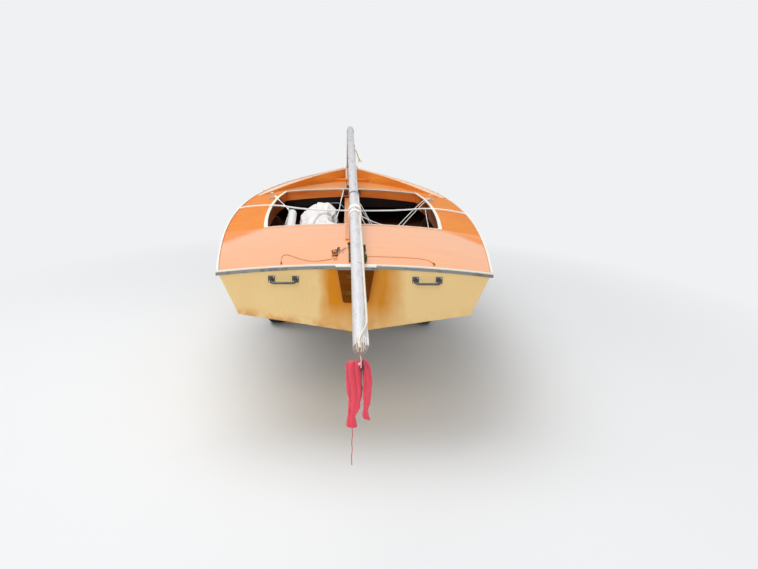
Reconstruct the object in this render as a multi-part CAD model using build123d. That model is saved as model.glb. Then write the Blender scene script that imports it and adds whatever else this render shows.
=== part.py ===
from build123d import *

import math
import os

# Sailing dinghy of about 5.5 m with a plywood hull, stored on its road trailer.
# All lengths are in millimetres. The world frame is +Z up, +Y towards the bow and +X to starboard.
# The hull is drawn upright in its own frame, with Y = 0 on the transom's inner face and Z = 0 near the keel
# there, and is then set on the trailer by its height and its bow-up tilt.

# Where the hull stands
KEEL_HEIGHT = 619.0
BOW_UP_DEG = 2.0

# Hull skin
PLANK = 9.0
PLANK_JOINTS = (1830.0, 3660.0)
DECK = 8.0
SEAM = 0.4
CAMBER_RADIUS = 5400.0
TRANSOM = 20.0
STEM = 36.0
HULL_END = 5500.0

# Station tables, one row a section: place along the hull, then half breadths and heights of its corners
STATIONS = (
    # y, sheer half breadth, sheer height, chine half breadth, chine height, keel height
    (0.0, 620.0, 269.0, 533.0, 76.0, -7.0),
    (1000.0, 764.0, 264.0, 652.0, 52.0, -44.0),
    (2150.0, 846.0, 266.0, 718.0, 38.0, -70.0),
    (3250.0, 790.0, 278.0, 652.0, 62.0, -58.0),
    (4400.0, 520.0, 300.0, 396.0, 122.0, 8.0),
    (HULL_END, 54.0, 336.0, 36.0, 212.0, 150.0),
)
Y, SHEER_B, SHEER_Z, CHINE_B, CHINE_Z, KEEL_Z = range(6)

# Trim on the deck's edge and on the transom
EDGE_TRIM_W = 10.0
EDGE_TRIM_CLEAR = 1.3
EDGE_TRIM_DROP = 20.0
EDGE_TRIM_RISE = 7.0
RAIL_H = 13.0
RAIL_T = 4.0
RAIL_CAP_W = 13.0
RAIL_CAP_H = 6.0

# Cockpit opening in the deck
COCKPIT_AFT = 1085.0
COCKPIT_FORE = 2960.0
COCKPIT_AFT_B = 528.0
COCKPIT_MID = 1900.0
COCKPIT_MID_B = 592.0
COCKPIT_SHOULDER = 2600.0
COCKPIT_SHOULDER_B = 594.0
COCKPIT_FORE_B = 562.0
COAMING_T = 20.0
COAMING_DEPTH = 92.0
COAMING_INSET = 3.0
COCKPIT_TRIM_OUT = 14.0
COCKPIT_TRIM_IN = 7.0
COCKPIT_TRIM_H = 6.0

# Cockpit floor, frames and centreboard trunk
FLOOR_Z = 26.0
FLOOR_T = 9.0
FLOOR_HALF = 470.0
FLOOR_AFT = 960.0
FLOOR_FORE = 3280.0
FRAME_T = 22.0
FRAME_PLACES = (1250.0, 1480.0, 2880.0, 3200.0)
KNEE_PLACES = (1480.0, 2350.0)
KNEE_TOP = 178.0
KNEE_TOP_B = 578.0
KNEE_FOOT_B = 505.0
TRUNK_AFT = 1600.0
TRUNK_FORE = 2780.0
TRUNK_WALL = 14.0
SLOT_HALF = 12.0
TRUNK_TOP = 244.0
CAP_PORT = -58.0
CAP_STARBOARD = 32.0
CAP_T = 18.0
CAP_AFT = 1300.0
BATTEN_X = (-50.0, -26.0)
BATTEN_AFT = 600.0
BATTEN_H = 7.0
BOARD_T = 16.0
PIVOT_R = 8.0
PIVOT_Y = 2650.0
PIVOT_Z = 60.0
BOARD_DEPTH = 300.0
KEEL_STRIP_W = 64.0
KEEL_STRIP_T = 18.0
SKEG_LENGTH = 900.0
SKEG_DEPTH = 46.0
SKEG_T = 22.0

# Foredeck
SPLASH_FOOT_Y = 2890.0
SPLASH_FOOT_B = 796.0
SPLASH_APEX_Y = 3890.0
SPLASH_APEX_B = 58.0
SPLASH_APEX_H = 110.0
SPLASH_T = 15.0
SPLASH_CAP_W = 20.0
SPLASH_CAP_H = 9.0
PAD_Y = 3765.0
PAD_W = 396.0
PAD_L = 110.0
PAD_H = 24.0
STEP_Y = 3190.0
STEP_L = 180.0
STEP_GAP = 82.0
STEP_CHEEK_T = 5.0
STEP_CHEEK_H = 64.0
STEP_PIN_R = 6.0

# Transom fittings
RUDDER_PAD_TOP_HALF = 88.0
RUDDER_PAD_FOOT_HALF = 60.0
RUDDER_PAD_TOP = 300.0
RUDDER_PAD_FOOT = 136.0
RUDDER_PAD_T = 22.0
RUDDER_PAD_CORNER = 16.0
GUDGEON_Z = (262.0, 186.0)
GUDGEON_PLATE_W = 84.0
GUDGEON_PLATE_H = 18.0
GUDGEON_PLATE_T = 3.0
GUDGEON_REACH = 26.0
GUDGEON_BARREL_R = 10.0
GUDGEON_BORE_R = 4.9
HANDLE_X = 327.0
HANDLE_Z = 236.0
HANDLE_SPAN = 108.0
HANDLE_FOOT = 30.0
HANDLE_FOOT_T = 3.0
HANDLE_REACH = 34.0
HANDLE_R = 5.5

# Deck fittings
TRACKS = (
    # x, forward end
    (-28.0, 440.0),
    (44.0, 320.0),
)
TRACK_AFT = 60.0
TRACK_W = 9.0
TRACK_H = 8.0
FAIRLEAD_X = 646.0
FAIRLEAD_Y = 2540.0
FAIRLEAD_BASE = 50.0
FAIRLEAD_H = 26.0
CHAINPLATE_X = 780.0
CHAINPLATE_Y = 3080.0
CHAINPLATE_W = 25.0
CHAINPLATE_T = 3.0
CHAINPLATE_H = 42.0
CHAINPLATE_HOLE_R = 4.0
BOW_EYE_Z = 262.0
BOW_EYE_R = 21.0
BOW_EYE_ROD_R = 5.0

# Stowed mast, in the world frame
MAST_HEAD_Y = -1030.0
MAST_FOOT_Y = 5950.0
MAST_RISE = 0.1105
MAST_HEAD_R = 23.0
MAST_MID_R = 26.5
MAST_FOOT_R = 38.0
MAST_TAPER_FROM = 1700.0
MAST_TAPER_TO = 4300.0
MAST_WALL = 2.5
MAST_TRACK_W = 9.0
MAST_TRACK_H = 7.0
MAST_TRACK_SUNK = 1.5
MAST_PLUG_LENGTH = 46.0
MAST_EAR_W = 34.0
MAST_EAR_T = 7.0

# Goods in the cockpit
BAG_X = -268.0
BAG_SECTIONS = (
    # y, half width, top
    (1340.0, 84.0, 165.0),
    (1680.0, 150.0, 232.0),
    (2000.0, 156.0, 250.0),
    (2300.0, 142.0, 318.0),
    (2640.0, 80.0, 190.0),
)
BOOM_R = 32.0
BOOM_WALL = 2.5
BOOM_AFT = (-380.0, 330.0)
BOOM_FORE = (-456.0, 2180.0, 228.0)

# Rag and lashings
RAG_W = 96.0
RAG_T = 46.0
RAG_LENGTH = 250.0
ROPE_R = 4.5
ROPE_CLEAR = 3.0
ROPE_BEND = 8.0
ROPE_PORT_Y = 2089.0
ROPE_STARBOARD_Y = 1926.0
ROPE_PULL_PORT = -116.0
ROPE_PULL_STARBOARD = 26.0
ROPE_SAGS = (
    # x, drop under the trim
    (-360.0, 27.0),
    (0.0, 34.0),
    (360.0, 27.0),
)
ROPE_RISE = 50.0
ROPE_OFF_CHINE = 40.0
ROPE_BELOW_TRIM = 10.0

# Trailer, in the world frame
AXLE_Y = 2440.0
AXLE_Z = 262.0
TRACK_HALF = 600.0
TYRE_R = 262.0
TYRE_W = 132.0
TYRE_CORNER = 26.0
RIM_R = 152.0
RIM_W = 104.0
RIM_T = 4.0
HUB_R = 42.0
HUB_L = 78.0
SPINDLE_R = 14.0
SPINDLE_CLEAR = 0.3
HUB_FACE_CLEAR = 0.5
AXLE_TUBE = 46.0
TUBE = 60.0
TUBE_WALL = 3.0
RAIL_TUBE = 50.0
CROSS_TUBE = 40.0
TONGUE_Z = 420.0
TONGUE_AFT = 1050.0
COUPLER_Y = 6260.0
COUPLER_HALF = 38.0
COUPLER_LAP = 120.0
COUPLER_NOSE = 60.0
COUPLER_WALL = 6.0
SOCKET_R = 26.0
SOCKET_DEPTH = 30.0
RAIL_X = 400.0
RAIL_FORE = 3560.0
ARM_LENGTH = 1000.0
CROSS_PLACES = (1075.0, 1900.0, 3000.0, 3535.0)
BUNK_X = 330.0
BUNK_AFT = 900.0
BUNK_FORE = 3300.0
BUNK_W = 92.0
BUNK_H = 44.0
BUNK_DROP = 30.0
BUNK_POSTS = (1075.0, 3000.0)
SPRING_REACH = 330.0
SECOND_LEAF_SHARE = 0.55
LEAF_W = 40.0
LEAF_T = 8.0
HANGER_H = 29.7
HANGER_T = 24.0
FENDER_R = 300.0
FENDER_T = 3.0
FENDER_W = 168.0
FENDER_STAYS = 250.0
FENDER_STAY_W = 30.0
POST_Y = 5640.0
POST_TUBE = 60.0
WINCH_Z = 150.0
WINCH_W = 90.0
WINCH_REACH = 100.0
WINCH_SHAFT = 55.0
WINCH_CHEEK_T = 5.0
WINCH_DRUM_R = 28.0
CRANK_ARM = 150.0
CRUTCH_T = 38.0
CRUTCH_W = 84.0
JACK_Y = 5980.0
JACK_R = 24.0
JACK_ABOVE = 230.0
JACK_TUBE_LOW = 60.0
JACK_FOOT_R = 70.0
JACK_FOOT_T = 10.0
JACK_CRANK = 120.0
GAP = 0.3


def station(y):
    """The section at a place along the hull, on a smooth curve through the table's rows."""
    last = len(STATIONS) - 1
    index = next((i for i in range(last) if y <= STATIONS[i + 1][Y]), last - 1)
    rows = [STATIONS[min(max(i, 0), last)] for i in range(index - 1, index + 3)]
    span = rows[2][Y] - rows[1][Y]
    share = min(max((y - rows[1][Y]) / span, 0.0), 1.0)
    values = [y]
    for column in range(1, len(STATIONS[0])):
        start, end = rows[1][column], rows[2][column]
        slope_in = (end - rows[0][column]) / (rows[2][Y] - rows[0][Y]) * span
        slope_out = (rows[3][column] - start) / (rows[3][Y] - rows[1][Y]) * span
        ease = share * share * (3 - 2 * share)
        bend_in = share * (1 - share) ** 2 * slope_in
        bend_out = share * share * (1 - share) * slope_out
        values.append(start + (end - start) * ease + bend_in - bend_out)
    return tuple(values)


def crown(half):
    """Rise of the cambered deck over a half breadth."""
    return half * half / (2 * CAMBER_RADIUS)


def section(points, y):
    """A flat closed face across the hull."""
    return Face(Wire.make_polygon([Vector(x, y, z) for x, z in points], close=True))


def camber(end, y, edge, rise):
    """The crowned arc across the hull that ends at a half breadth, with its edges at one height."""
    return ThreePointArc((-end, y, edge), (0, y, edge + rise), (end, y, edge))


def mirrored(shape):
    """The same piece on the other side of the hull."""
    return shape.mirror(Plane.YZ)


def main_solid(shape):
    """The largest solid of a cut piece, without the offcuts."""
    return shape.solids().sort_by(SortBy.VOLUME)[-1]


def both(shape):
    """The piece and its mirror image, as two solids."""
    return Compound(children=[*shape.solids(), *mirrored(shape).solids()])


def on_hull(shape):
    """Sets a piece drawn in the hull's own frame on the trailer."""
    return Pos(0, 0, KEEL_HEIGHT) * Rot(BOW_UP_DEG, 0, 0) * shape


def hull_world_z(y, z):
    """World height of a point in the hull's frame."""
    tilt = math.radians(BOW_UP_DEG)
    return KEEL_HEIGHT + y * math.sin(tilt) + z * math.cos(tilt)


def hull_world_y(y, z):
    """World place along the length of a point in the hull's frame."""
    tilt = math.radians(BOW_UP_DEG)
    return y * math.cos(tilt) - z * math.sin(tilt)


def block(x, y, z):
    """A box from its three spans."""
    size = (x[1] - x[0], y[1] - y[0], z[1] - z[0])
    middle = ((x[0] + x[1]) / 2, (y[0] + y[1]) / 2, (z[0] + z[1]) / 2)
    return Pos(*middle) * Box(*size)


def side_point(row, z):
    """Half breadth of the side's outer face at a height."""
    share = (z - row[CHINE_Z]) / (row[SHEER_Z] - row[CHINE_Z])
    return row[CHINE_B] + (row[SHEER_B] - row[CHINE_B]) * share


def bottom_half():
    """One bottom plank, from the keel to the chine."""
    faces = []
    for row in STATIONS:
        keel, chine, half = row[KEEL_Z], row[CHINE_Z], row[CHINE_B]
        points = [(SEAM / 2, keel), (half, chine), (half, chine + PLANK), (SEAM / 2, keel + PLANK)]
        faces.append(section(points, row[Y]))
    return loft(faces)


def side_half():
    """One side plank, from the chine to under the deck."""
    faces = []
    for row in STATIONS:
        low = row[CHINE_Z] + PLANK + SEAM
        high = row[SHEER_Z] - DECK - SEAM
        x_low, x_high = side_point(row, low), side_point(row, high)
        points = [(x_low, low), (x_high, high), (x_high - PLANK, high), (x_low - PLANK, low)]
        faces.append(section(points, row[Y]))
    return loft(faces)


def deck_layer(bottom, thickness, spread=0.0):
    """A cambered sheet over the whole deck, from a height above the sheer."""
    faces = []
    for row in STATIONS:
        half, low = row[SHEER_B] + spread, row[SHEER_Z] + bottom
        high, rise = low + thickness, crown(half)
        edges = [
            Line((-half, row[Y], low), (-half, row[Y], high)),
            camber(half, row[Y], high, rise),
            Line((half, row[Y], high), (half, row[Y], low)),
            camber(-half, row[Y], low, rise),
        ]
        faces.append(Face(Wire(edges)))
    return loft(faces)


def inside_space():
    """The space inside the planks and under the deck, just clear of both."""
    faces = []
    for row in STATIONS:
        keel, chine = row[KEEL_Z] + PLANK + SEAM, row[CHINE_Z] + PLANK + SEAM
        side_top = row[SHEER_Z] - DECK - SEAM
        x_low = side_point(row, row[CHINE_Z] + PLANK) - PLANK - SEAM
        x_high = side_point(row, side_top) - PLANK - SEAM
        high = side_top + crown(row[SHEER_B]) - crown(x_high)
        edges = [
            Line((0, row[Y], keel), (x_low, row[Y], chine)),
            Line((x_low, row[Y], chine), (x_high, row[Y], high)),
            camber(-x_high, row[Y], high, crown(x_high)),
            Line((-x_high, row[Y], high), (-x_low, row[Y], chine)),
            Line((-x_low, row[Y], chine), (0, row[Y], keel)),
        ]
        faces.append(Face(Wire(edges)))
    return loft(faces)


def envelope(clearance):
    """The hull as one solid with a clearance, for cutting what seats against it."""
    faces = []
    for row in STATIONS:
        keel, chine = row[KEEL_Z] - clearance, row[CHINE_Z] - clearance
        x_low, x_high = row[CHINE_B] + clearance, row[SHEER_B] + clearance
        high = row[SHEER_Z] + clearance
        edges = [
            Line((0, row[Y], keel), (x_low, row[Y], chine)),
            Line((x_low, row[Y], chine), (x_high, row[Y], high)),
            camber(-x_high, row[Y], high, crown(x_high)),
            Line((-x_high, row[Y], high), (-x_low, row[Y], chine)),
            Line((-x_low, row[Y], chine), (0, row[Y], keel)),
        ]
        faces.append(Face(Wire(edges)))
    return loft(faces)


def opening_face(grow):
    """The cockpit opening in plan, grown outwards by a margin."""
    aft, fore = COCKPIT_AFT - grow, COCKPIT_FORE + grow
    aft_b, mid_b = COCKPIT_AFT_B + grow, COCKPIT_MID_B + grow
    shoulder_b, fore_b = COCKPIT_SHOULDER_B + grow, COCKPIT_FORE_B + grow
    shoulder = COCKPIT_SHOULDER + grow / 2
    edges = [
        Line((-aft_b, aft), (aft_b, aft)),
        ThreePointArc((aft_b, aft), (mid_b, COCKPIT_MID), (shoulder_b, shoulder)),
        Line((shoulder_b, shoulder), (fore_b, fore)),
        Line((fore_b, fore), (-fore_b, fore)),
        Line((-fore_b, fore), (-shoulder_b, shoulder)),
        ThreePointArc((-shoulder_b, shoulder), (-mid_b, COCKPIT_MID), (-aft_b, aft)),
    ]
    return Face(Wire(edges))


def opening_column(grow, low, high):
    """The cockpit opening as an upright prism."""
    return Pos(0, 0, low) * extrude(opening_face(grow), high - low, dir=(0, 0, 1))


def butted(plank):
    """A plank as the three plywood sheets that it is butted from, with their mirror images."""
    ends = (0.0, *PLANK_JOINTS, HULL_END)
    sheets = []
    for aft, fore in zip(ends, ends[1:]):
        sheets += (plank & block((-1200, 1200), (aft + SEAM / 2, fore - SEAM / 2), (-300, 700))).solids()
    return Compound(children=[mirrored(sheet) for sheet in sheets]), Compound(children=sheets)


def hull_bottom():
    """Both bottom planks, with the centreboard slot."""
    slot = block((-SLOT_HALF, SLOT_HALF), (TRUNK_AFT + TRUNK_WALL, TRUNK_FORE - TRUNK_WALL), (-200, 100))
    port, starboard = butted(bottom_half() - slot)
    return {"hull_bottom_port": port, "hull_bottom_starboard": starboard}


def hull_sides():
    """Both side planks."""
    port, starboard = butted(side_half())
    return {"hull_side_port": port, "hull_side_starboard": starboard}


def deck_outline_cut(y_low, y_high):
    """A slab of the hull's length, for cutting the deck at its butt seams."""
    return block((-1200, 1200), (y_low, y_high), (-300, 700))


def decks():
    """The four deck sheets, butted at the ends of the cockpit."""
    sheet = deck_layer(-DECK, DECK) - opening_column(0.0, 100, 600)
    sides = sheet & deck_outline_cut(COCKPIT_AFT, COCKPIT_FORE)
    port = sides & block((-1200, -SEAM), (0, HULL_END), (-300, 700))
    starboard = sides & block((SEAM, 1200), (0, HULL_END), (-300, 700))
    return {
        "aft_deck": sheet & deck_outline_cut(0, COCKPIT_AFT - SEAM),
        "side_deck_port": port,
        "side_deck_starboard": starboard,
        "foredeck": sheet & deck_outline_cut(COCKPIT_FORE + SEAM, HULL_END),
    }


def transom_face(y, top_drop=0.0):
    """The transom's outline: the first section with the deck's camber on top."""
    row = STATIONS[0]
    half, high = row[SHEER_B], row[SHEER_Z] - top_drop
    edges = [
        Line((0, y, row[KEEL_Z]), (row[CHINE_B], y, row[CHINE_Z])),
        Line((row[CHINE_B], y, row[CHINE_Z]), (half, y, high)),
        camber(-half, y, high, crown(half)),
        Line((-half, y, high), (-row[CHINE_B], y, row[CHINE_Z])),
        Line((-row[CHINE_B], y, row[CHINE_Z]), (0, y, row[KEEL_Z])),
    ]
    return Face(Wire(edges))


def transom():
    """The flat board that closes the stern."""
    return extrude(transom_face(-SEAM), TRANSOM, dir=(0, -1, 0))


def stem():
    """The narrow blunt bow, a block with rounded upright edges."""
    row = STATIONS[-1]
    points = [
        (0, row[KEEL_Z]),
        (row[CHINE_B], row[CHINE_Z]),
        (row[SHEER_B], row[SHEER_Z]),
        (-row[SHEER_B], row[SHEER_Z]),
        (-row[CHINE_B], row[CHINE_Z]),
    ]
    nose = extrude(section(points, HULL_END + SEAM), STEM, dir=(0, 1, 0))
    front = nose.edges().filter_by(lambda e: e.center().Y > HULL_END + STEM * 0.9)
    return chamfer(front.filter_by(lambda e: abs(e.center().X) > row[CHINE_B] * 0.7), STEM * 0.45)


def keel_strip():
    """The rubbing strip under the keel, with the short skeg aft."""
    faces = []
    for row in STATIONS:
        half, high = KEEL_STRIP_W / 2, row[KEEL_Z] - SEAM
        points = [(-half, high - KEEL_STRIP_T), (half, high - KEEL_STRIP_T), (half, high), (-half, high)]
        faces.append(section(points, row[Y]))
    slot = block((-SLOT_HALF, SLOT_HALF), (TRUNK_AFT + TRUNK_WALL, TRUNK_FORE - TRUNK_WALL), (-200, 100))
    skeg_profile = Face(
        Wire.make_polygon(
            [
                Vector(0, 0, -KEEL_STRIP_T),
                Vector(0, 0, -KEEL_STRIP_T - SKEG_DEPTH),
                Vector(0, SKEG_LENGTH, -KEEL_STRIP_T - SKEG_DEPTH),
            ],
            close=True,
        )
    )
    skeg = Pos(-SKEG_T / 2, 0, 0) * extrude(skeg_profile, SKEG_T, dir=(1, 0, 0))
    strip = loft(faces) - envelope(SEAM) - slot
    return strip + (skeg - envelope(SEAM))


def edge_trim():
    """The white strip along both deck edges."""
    faces = []
    for row in STATIONS:
        low, high = row[SHEER_Z] - EDGE_TRIM_DROP, row[SHEER_Z] + EDGE_TRIM_RISE
        inner = row[SHEER_B] + EDGE_TRIM_CLEAR
        points = [(inner, low), (inner + EDGE_TRIM_W, low), (inner + EDGE_TRIM_W, high), (inner, high)]
        faces.append(section(points, row[Y]))
    return both(loft(faces))


def rail_band(y_low, y_high, low, high):
    """A cambered band across the stern, between two heights from the sheer."""
    half = STATIONS[0][SHEER_B] + EDGE_TRIM_W
    base = STATIONS[0][SHEER_Z]
    rise = crown(half)
    edges = [
        Line((-half, y_low, base + low), (-half, y_low, base + high)),
        camber(half, y_low, base + high, rise),
        Line((half, y_low, base + high), (half, y_low, base + low)),
        camber(-half, y_low, base + low, rise),
    ]
    return extrude(Face(Wire(edges)), y_high - y_low, dir=(0, 1, 0))


def transom_rail():
    """The aluminium band on the transom, stepped aft over the rudder pad."""
    back = -SEAM - TRANSOM - GAP
    step = RUDDER_PAD_TOP_HALF + RAIL_T
    outer = rail_band(back - RAIL_T, back, -RAIL_H, 0)
    outer -= block((-step, step), (back - 200, back + 200), (0, 600))
    proud = back - RUDDER_PAD_T - GAP
    centre = rail_band(proud - RAIL_T, proud, -RAIL_H, 0)
    centre &= block((-step, step), (proud - 200, proud + 200), (0, 600))
    wrap = rail_band(proud - RAIL_T, back, -RAIL_H, 0)
    cheeks = wrap & block((RUDDER_PAD_TOP_HALF + GAP, step), (proud - 200, back), (0, 600))
    return Compound(children=[*(outer + centre + cheeks + mirrored(cheeks)).solids()])


def transom_cap():
    """The white strip over the transom's top edge."""
    back = -SEAM - TRANSOM
    cap = rail_band(back, RAIL_CAP_W + back, GAP, RAIL_CAP_H)
    step = RUDDER_PAD_TOP_HALF + RAIL_T
    bump = rail_band(back - RUDDER_PAD_T - RAIL_T - GAP, back, GAP, RAIL_CAP_H)
    return cap + (bump & block((-step, step), (back - 200, back), (0, 600)))


def rudder_pad():
    """The varnished block that carries the rudder's gudgeons."""
    top, foot = RUDDER_PAD_TOP_HALF, RUDDER_PAD_FOOT_HALF
    back = -SEAM - TRANSOM - GAP
    high, low = RUDDER_PAD_TOP, RUDDER_PAD_FOOT
    points = [(-top, high), (-foot, low), (foot, low), (top, high)]
    pad = extrude(section(points, back), RUDDER_PAD_T, dir=(0, -1, 0))
    feet = pad.edges().filter_by(Axis.Y).sort_by(Axis.Z)[:2]
    pad = fillet(feet, RUDDER_PAD_CORNER)
    rear = pad.faces().sort_by(Axis.Y)[0]
    return chamfer(rear.edges().filter_by(lambda e: e.center().Z < RUDDER_PAD_TOP - 1), 3.0)


def gudgeons():
    """Two bronze gudgeons on the pad, each a strap with a bored barrel."""
    face_y = -SEAM - TRANSOM - GAP - RUDDER_PAD_T - GAP
    made = []
    for z in GUDGEON_Z:
        plate = block(
            (-GUDGEON_PLATE_W / 2, GUDGEON_PLATE_W / 2),
            (face_y - GUDGEON_PLATE_T, face_y),
            (z - GUDGEON_PLATE_H / 2, z + GUDGEON_PLATE_H / 2),
        )
        barrel_y = face_y - GUDGEON_REACH
        arm = block(
            (-GUDGEON_BARREL_R, GUDGEON_BARREL_R),
            (barrel_y, face_y),
            (z - GUDGEON_PLATE_H / 2, z + GUDGEON_PLATE_H / 2),
        )
        barrel = Pos(0, barrel_y, z) * Cylinder(GUDGEON_BARREL_R, GUDGEON_PLATE_H)
        bore = Pos(0, barrel_y, z) * Cylinder(GUDGEON_BORE_R, GUDGEON_PLATE_H * 2)
        made += (plate + arm + barrel - bore).solids()
    return Compound(children=made)


def handles():
    """Two pull handles on the transom, each a bent rod on two square feet."""
    face_y = -SEAM - TRANSOM - GAP
    path = FilletPolyline(
        (-HANDLE_SPAN / 2, face_y - HANDLE_FOOT_T, HANDLE_Z + 6),
        (-HANDLE_SPAN / 2, face_y - HANDLE_REACH, HANDLE_Z - 4),
        (HANDLE_SPAN / 2, face_y - HANDLE_REACH, HANDLE_Z - 4),
        (HANDLE_SPAN / 2, face_y - HANDLE_FOOT_T, HANDLE_Z + 6),
        radius=14,
    )
    rod = sweep(Plane(path @ 0, z_dir=path % 0) * Circle(HANDLE_R), path)
    feet = []
    for side in (-1, 1):
        x = side * HANDLE_SPAN / 2
        feet.append(
            block(
                (x - HANDLE_FOOT / 2, x + HANDLE_FOOT / 2),
                (face_y - HANDLE_FOOT_T, face_y),
                (HANDLE_Z + 6 - HANDLE_FOOT / 2, HANDLE_Z + 6 + HANDLE_FOOT / 2),
            )
        )
    handle = rod + feet[0] + feet[1]
    pair = [Pos(side * HANDLE_X, 0, 0) * handle for side in (-1, 1)]
    return Compound(children=[solid for one in pair for solid in one.solids()])


def coaming(space):
    """The boards that line the cockpit opening under the deck."""
    depth = STATIONS[2][SHEER_Z] - DECK - COAMING_DEPTH + crown(COCKPIT_MID_B) / 2
    outside = opening_column(COAMING_INSET + COAMING_T, depth, 500)
    return (outside - opening_column(COAMING_INSET, depth - 10, 510)) & space


def cockpit_trim():
    """The white strip along the cockpit's sides and its front."""
    layer = deck_layer(GAP, COCKPIT_TRIM_H)
    ring = opening_column(COCKPIT_TRIM_OUT, 100, 600) - opening_column(-COCKPIT_TRIM_IN, 90, 610)
    ahead = block((-1200, 1200), (COCKPIT_AFT, COCKPIT_FORE + 2 * COCKPIT_TRIM_OUT), (0, 700))
    return layer & ring & ahead


def cockpit_floor(space):
    """The floor boards on each side of the trunk."""
    gap = SLOT_HALF + TRUNK_WALL + 4
    board = block((gap, FLOOR_HALF), (FLOOR_AFT, FLOOR_FORE), (FLOOR_Z, FLOOR_Z + FLOOR_T))
    return both(board & space)


def floor_frames(space):
    """The frames under the floor boards and the knees up the sides, shaped to the planks."""
    made = []
    for y in FRAME_PLACES:
        slab = block((-700, 700), (y - FRAME_T / 2, y + FRAME_T / 2), (-200, FLOOR_Z - GAP))
        made += (slab & space).solids()
    low = FLOOR_Z + FLOOR_T + GAP
    points = [(KNEE_FOOT_B, low), (900, low), (900, KNEE_TOP), (KNEE_TOP_B, KNEE_TOP)]
    for y in KNEE_PLACES:
        knee = extrude(section(points, y - FRAME_T / 2), FRAME_T, dir=(0, 1, 0)) & space
        made += both(knee).solids()
    return Compound(children=made)


def trunk(space):
    """The centreboard trunk: two walls and two end posts over the slot."""
    outer = SLOT_HALF + TRUNK_WALL
    box = block((-outer, outer), (TRUNK_AFT, TRUNK_FORE), (-200, TRUNK_TOP))
    inside = (TRUNK_AFT + TRUNK_WALL, TRUNK_FORE - TRUNK_WALL)
    hollow = block((-SLOT_HALF, SLOT_HALF), inside, (-210, TRUNK_TOP + 10))
    hole = Pos(0, PIVOT_Y, PIVOT_Z) * Rot(0, 90, 0) * Cylinder(PIVOT_R + GAP, 4 * outer)
    return ((box - hollow) & space) - hole


def trunk_cap(above):
    """The light wood cap on the trunk, with its aft leg, and the light batten on the aft deck behind it."""
    low = TRUNK_TOP + GAP
    fore = COCKPIT_FORE + COAMING_INSET - GAP
    cap = block((CAP_PORT, CAP_STARBOARD), (CAP_AFT, fore), (low, low + CAP_T))
    cap = fillet(cap.edges().filter_by(Axis.Y), 4)
    leg = block((-SLOT_HALF, SLOT_HALF), (CAP_AFT, CAP_AFT + 60), (FLOOR_Z + FLOOR_T + GAP, low))
    strip = block(BATTEN_X, (BATTEN_AFT, COCKPIT_AFT - COCKPIT_TRIM_IN), (0, 700))
    batten = (strip & deck_layer(GAP, BATTEN_H)) - above
    return Compound(children=[*(cap + leg).solids(), *batten.solids()])


def centreboard():
    """The board, raised in its trunk."""
    row = station(TRUNK_AFT)
    low = row[KEEL_Z] - KEEL_STRIP_T
    aft, fore = TRUNK_AFT + TRUNK_WALL + 10, TRUNK_FORE - TRUNK_WALL - 10
    points = [
        Vector(-BOARD_T / 2, aft + 90, low),
        Vector(-BOARD_T / 2, fore, low - 8),
        Vector(-BOARD_T / 2, fore, low + BOARD_DEPTH * 0.8),
        Vector(-BOARD_T / 2, fore - 160, low + BOARD_DEPTH),
        Vector(-BOARD_T / 2, aft, low + BOARD_DEPTH * 0.9),
    ]
    board = extrude(Face(Wire.make_polygon(points, close=True)), BOARD_T, dir=(1, 0, 0))
    pin = Pos(0, PIVOT_Y, PIVOT_Z) * Rot(0, 90, 0) * Cylinder(PIVOT_R, 2 * (SLOT_HALF + TRUNK_WALL) + 8)
    return board + pin


def splash_board_side(width, z_low_extra, z_high_extra):
    """One board of the V on the foredeck, before it is fitted to the deck."""
    foot = Vector(SPLASH_FOOT_B, SPLASH_FOOT_Y, 0)
    apex = Vector(SPLASH_APEX_B, SPLASH_APEX_Y, 0)
    along = (apex - foot).normalized()
    across = Vector(-along.Y, along.X, 0)
    foot_row, apex_row = station(SPLASH_FOOT_Y), station(SPLASH_APEX_Y)
    foot_z = foot_row[SHEER_Z]
    apex_z = apex_row[SHEER_Z] + crown(apex_row[SHEER_B]) + SPLASH_APEX_H
    middle = foot + (apex - foot) * 0.42
    middle_z = foot_z + (apex_z - foot_z) * 0.56
    base = foot - across * (width / 2)
    tip = apex - across * (width / 2)
    centre = middle - across * (width / 2)
    edges = [
        Line((base.X, base.Y, foot_z - z_low_extra), (tip.X, tip.Y, foot_z - z_low_extra)),
        Line((tip.X, tip.Y, foot_z - z_low_extra), (tip.X, tip.Y, apex_z + z_high_extra)),
        ThreePointArc(
            (tip.X, tip.Y, apex_z + z_high_extra),
            (centre.X, centre.Y, middle_z + z_high_extra),
            (base.X, base.Y, foot_z + z_high_extra),
        ),
        Line((base.X, base.Y, foot_z + z_high_extra), (base.X, base.Y, foot_z - z_low_extra)),
    ]
    return extrude(Face(Wire(edges)), width, dir=across)


def splash_boards(above):
    """The V of varnished boards that turns spray off the foredeck."""
    return both(main_solid(splash_board_side(SPLASH_T, 60, 0) - above))


def splash_caps(above):
    """The pale strip on top of each splash board."""
    solid = splash_board_side(SPLASH_CAP_W, 60, SPLASH_CAP_H) - splash_board_side(SPLASH_CAP_W + 4, 80, GAP)
    return both(main_solid(solid - above))


def foredeck_pad(above):
    """The wooden pad across the foredeck, shaped to its camber."""
    row = station(PAD_Y)
    top = row[SHEER_Z] + crown(row[SHEER_B]) + PAD_H
    pad = block((-PAD_W / 2, PAD_W / 2), (PAD_Y - PAD_L / 2, PAD_Y + PAD_L / 2), (row[SHEER_Z] - 20, top))
    pad = chamfer(pad.edges().filter_by(Axis.Y).sort_by(Axis.Z)[2:], 8)
    board = splash_board_side(SPLASH_T + 2 * GAP, 80, 0)
    return main_solid(pad - above - board - mirrored(board))


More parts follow.
